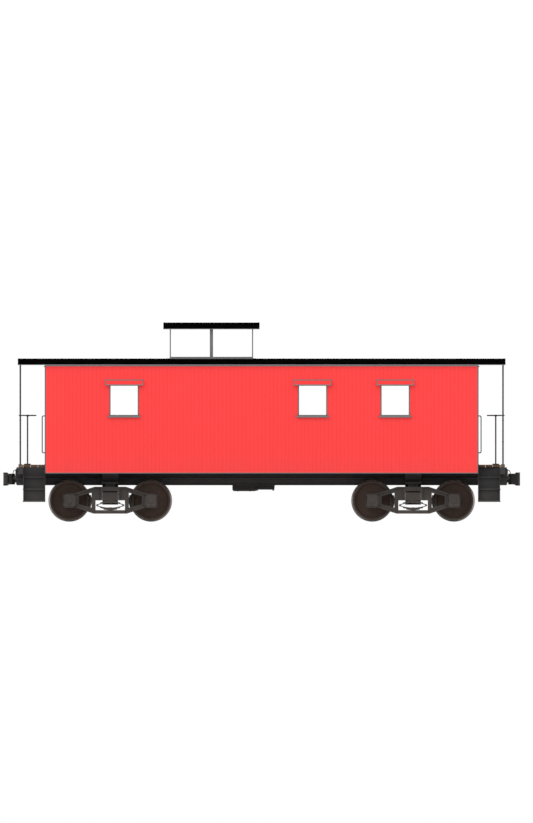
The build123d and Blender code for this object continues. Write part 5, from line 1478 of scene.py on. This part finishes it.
class SeatOperator(Operator):
    """Cupola seats: wooden boxes and backs with stuffed, buttoned leather cushions"""

    bl_idname = "caboose.seats"
    bl_label = "Cupola seats"

    def execute(self, context):
        low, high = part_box("cupola_seats")
        swell = context.scene.caboose_sizes.cushion_swell
        middle_x, inner_y = (low.x + high.x) / 2, 0.628
        length, half_gap, rise, thickness, lean, pad, board = 0.54, 0.05, 0.42, 0.07, 0.04, 0.09, 0.014
        seat_z, width = low.z + rise, high.y - inner_y
        back_height, padding = high.z - seat_z, thickness - board
        bm = bmesh.new()
        for side, way in CORNERS:
            y = side * inner_y
            start, back = middle_x + way * half_gap, middle_x + way * (half_gap + length)
            block(bm, (start, y, low.z), (back + way * 0.055, side * high.y, seat_z - pad), 0.005)
            foot, top = back + way * thickness, back + way * (thickness + lean)
            outline = [(foot, y, low.z), (foot - way * board, y, low.z), (top - way * board, y, high.z),
                       (top, y, high.z)]
            prism(bm, outline, (0.0, side * width, 0.0), 0.003)
        finished(bm, "seat_boxes", "inside_wood", ("cupola_seats",))

        seat = stuffed("seat_pattern", (length - 0.012, width - 0.008, pad), swell)
        rest = stuffed("rest_pattern", (back_height - 0.016, width - 0.008, padding), swell)
        slope = math.atan2(lean, back_height)
        names = {-1: ("rear", "right"), 1: ("front", "left")}
        for side, way in CORNERS:
            y, back = side * (inner_y + width / 2), middle_x + way * (half_gap + length)
            flat = Matrix.Translation((back - way * length / 2, y, seat_z - pad / 2))
            upright = Matrix.Translation((back + way * (lean / 2 + padding / 2), y, seat_z + back_height / 2))
            upright = upright @ Matrix.Rotation(way * (math.pi / 2 + slope), 4, "Y")
            for pattern, name, place in ((seat, "seat", flat), (rest, "back", upright)):
                mesh = pattern.copy()
                mesh.transform(place)
                mesh.materials.append(FINISHES["seat_cover"])
                cushion = added(f"cushion_{name}_{names[way][0]}_{names[side][1]}", mesh)
                smooth = cushion.modifiers.new("smooth cover", "SUBSURF")
                smooth.levels = smooth.render_levels = 1
                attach(cushion, "car")
                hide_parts("cupola_seats")
        return {"FINISHED"}


class CaboosePanel(Panel):
    """Sizes, colours and pieces of the caboose"""

    bl_idname = "CABOOSE_PT_main"
    bl_label = "Caboose"
    bl_space_type = "VIEW_3D"
    bl_region_type = "UI"
    bl_category = "Caboose"

    def draw(self, context):
        for group in (context.scene.caboose_sizes, context.scene.caboose_colours):
            box = self.layout.box()
            for key in group.bl_rna.properties.keys():
                if key not in {"rna_type", "name"}:
                    box.prop(group, key)
        for step in STEPS:
            self.layout.operator(step.bl_idname)


STEPS = (StageOperator, FinishOperator, WallOperator, TrimOperator, RoofOperator, WindowOperator,
         CupolaOperator, FloorOperator, UnderframeOperator, DoorOperator, RailingOperator, HandBrakeOperator,
         CouplerOperator, AirBrakeOperator, TruckOperator, WheelOperator, InsideOperator, SeatOperator)
CLASSES = (CabooseSizes, CabooseColours, *STEPS, CaboosePanel)


def register():
    for made in CLASSES:
        bpy.utils.register_class(made)
    bpy.types.Scene.caboose_sizes = PointerProperty(type=CabooseSizes)
    bpy.types.Scene.caboose_colours = PointerProperty(type=CabooseColours)


def unregister():
    del bpy.types.Scene.caboose_colours
    del bpy.types.Scene.caboose_sizes
    for made in reversed(CLASSES):
        bpy.utils.unregister_class(made)


def main():
    """Runs every step in order."""
    register()
    for step in STEPS:
        family, name = step.bl_idname.split(".")
        getattr(getattr(bpy.ops, family), name)()


if __name__ == "__main__":
    main()
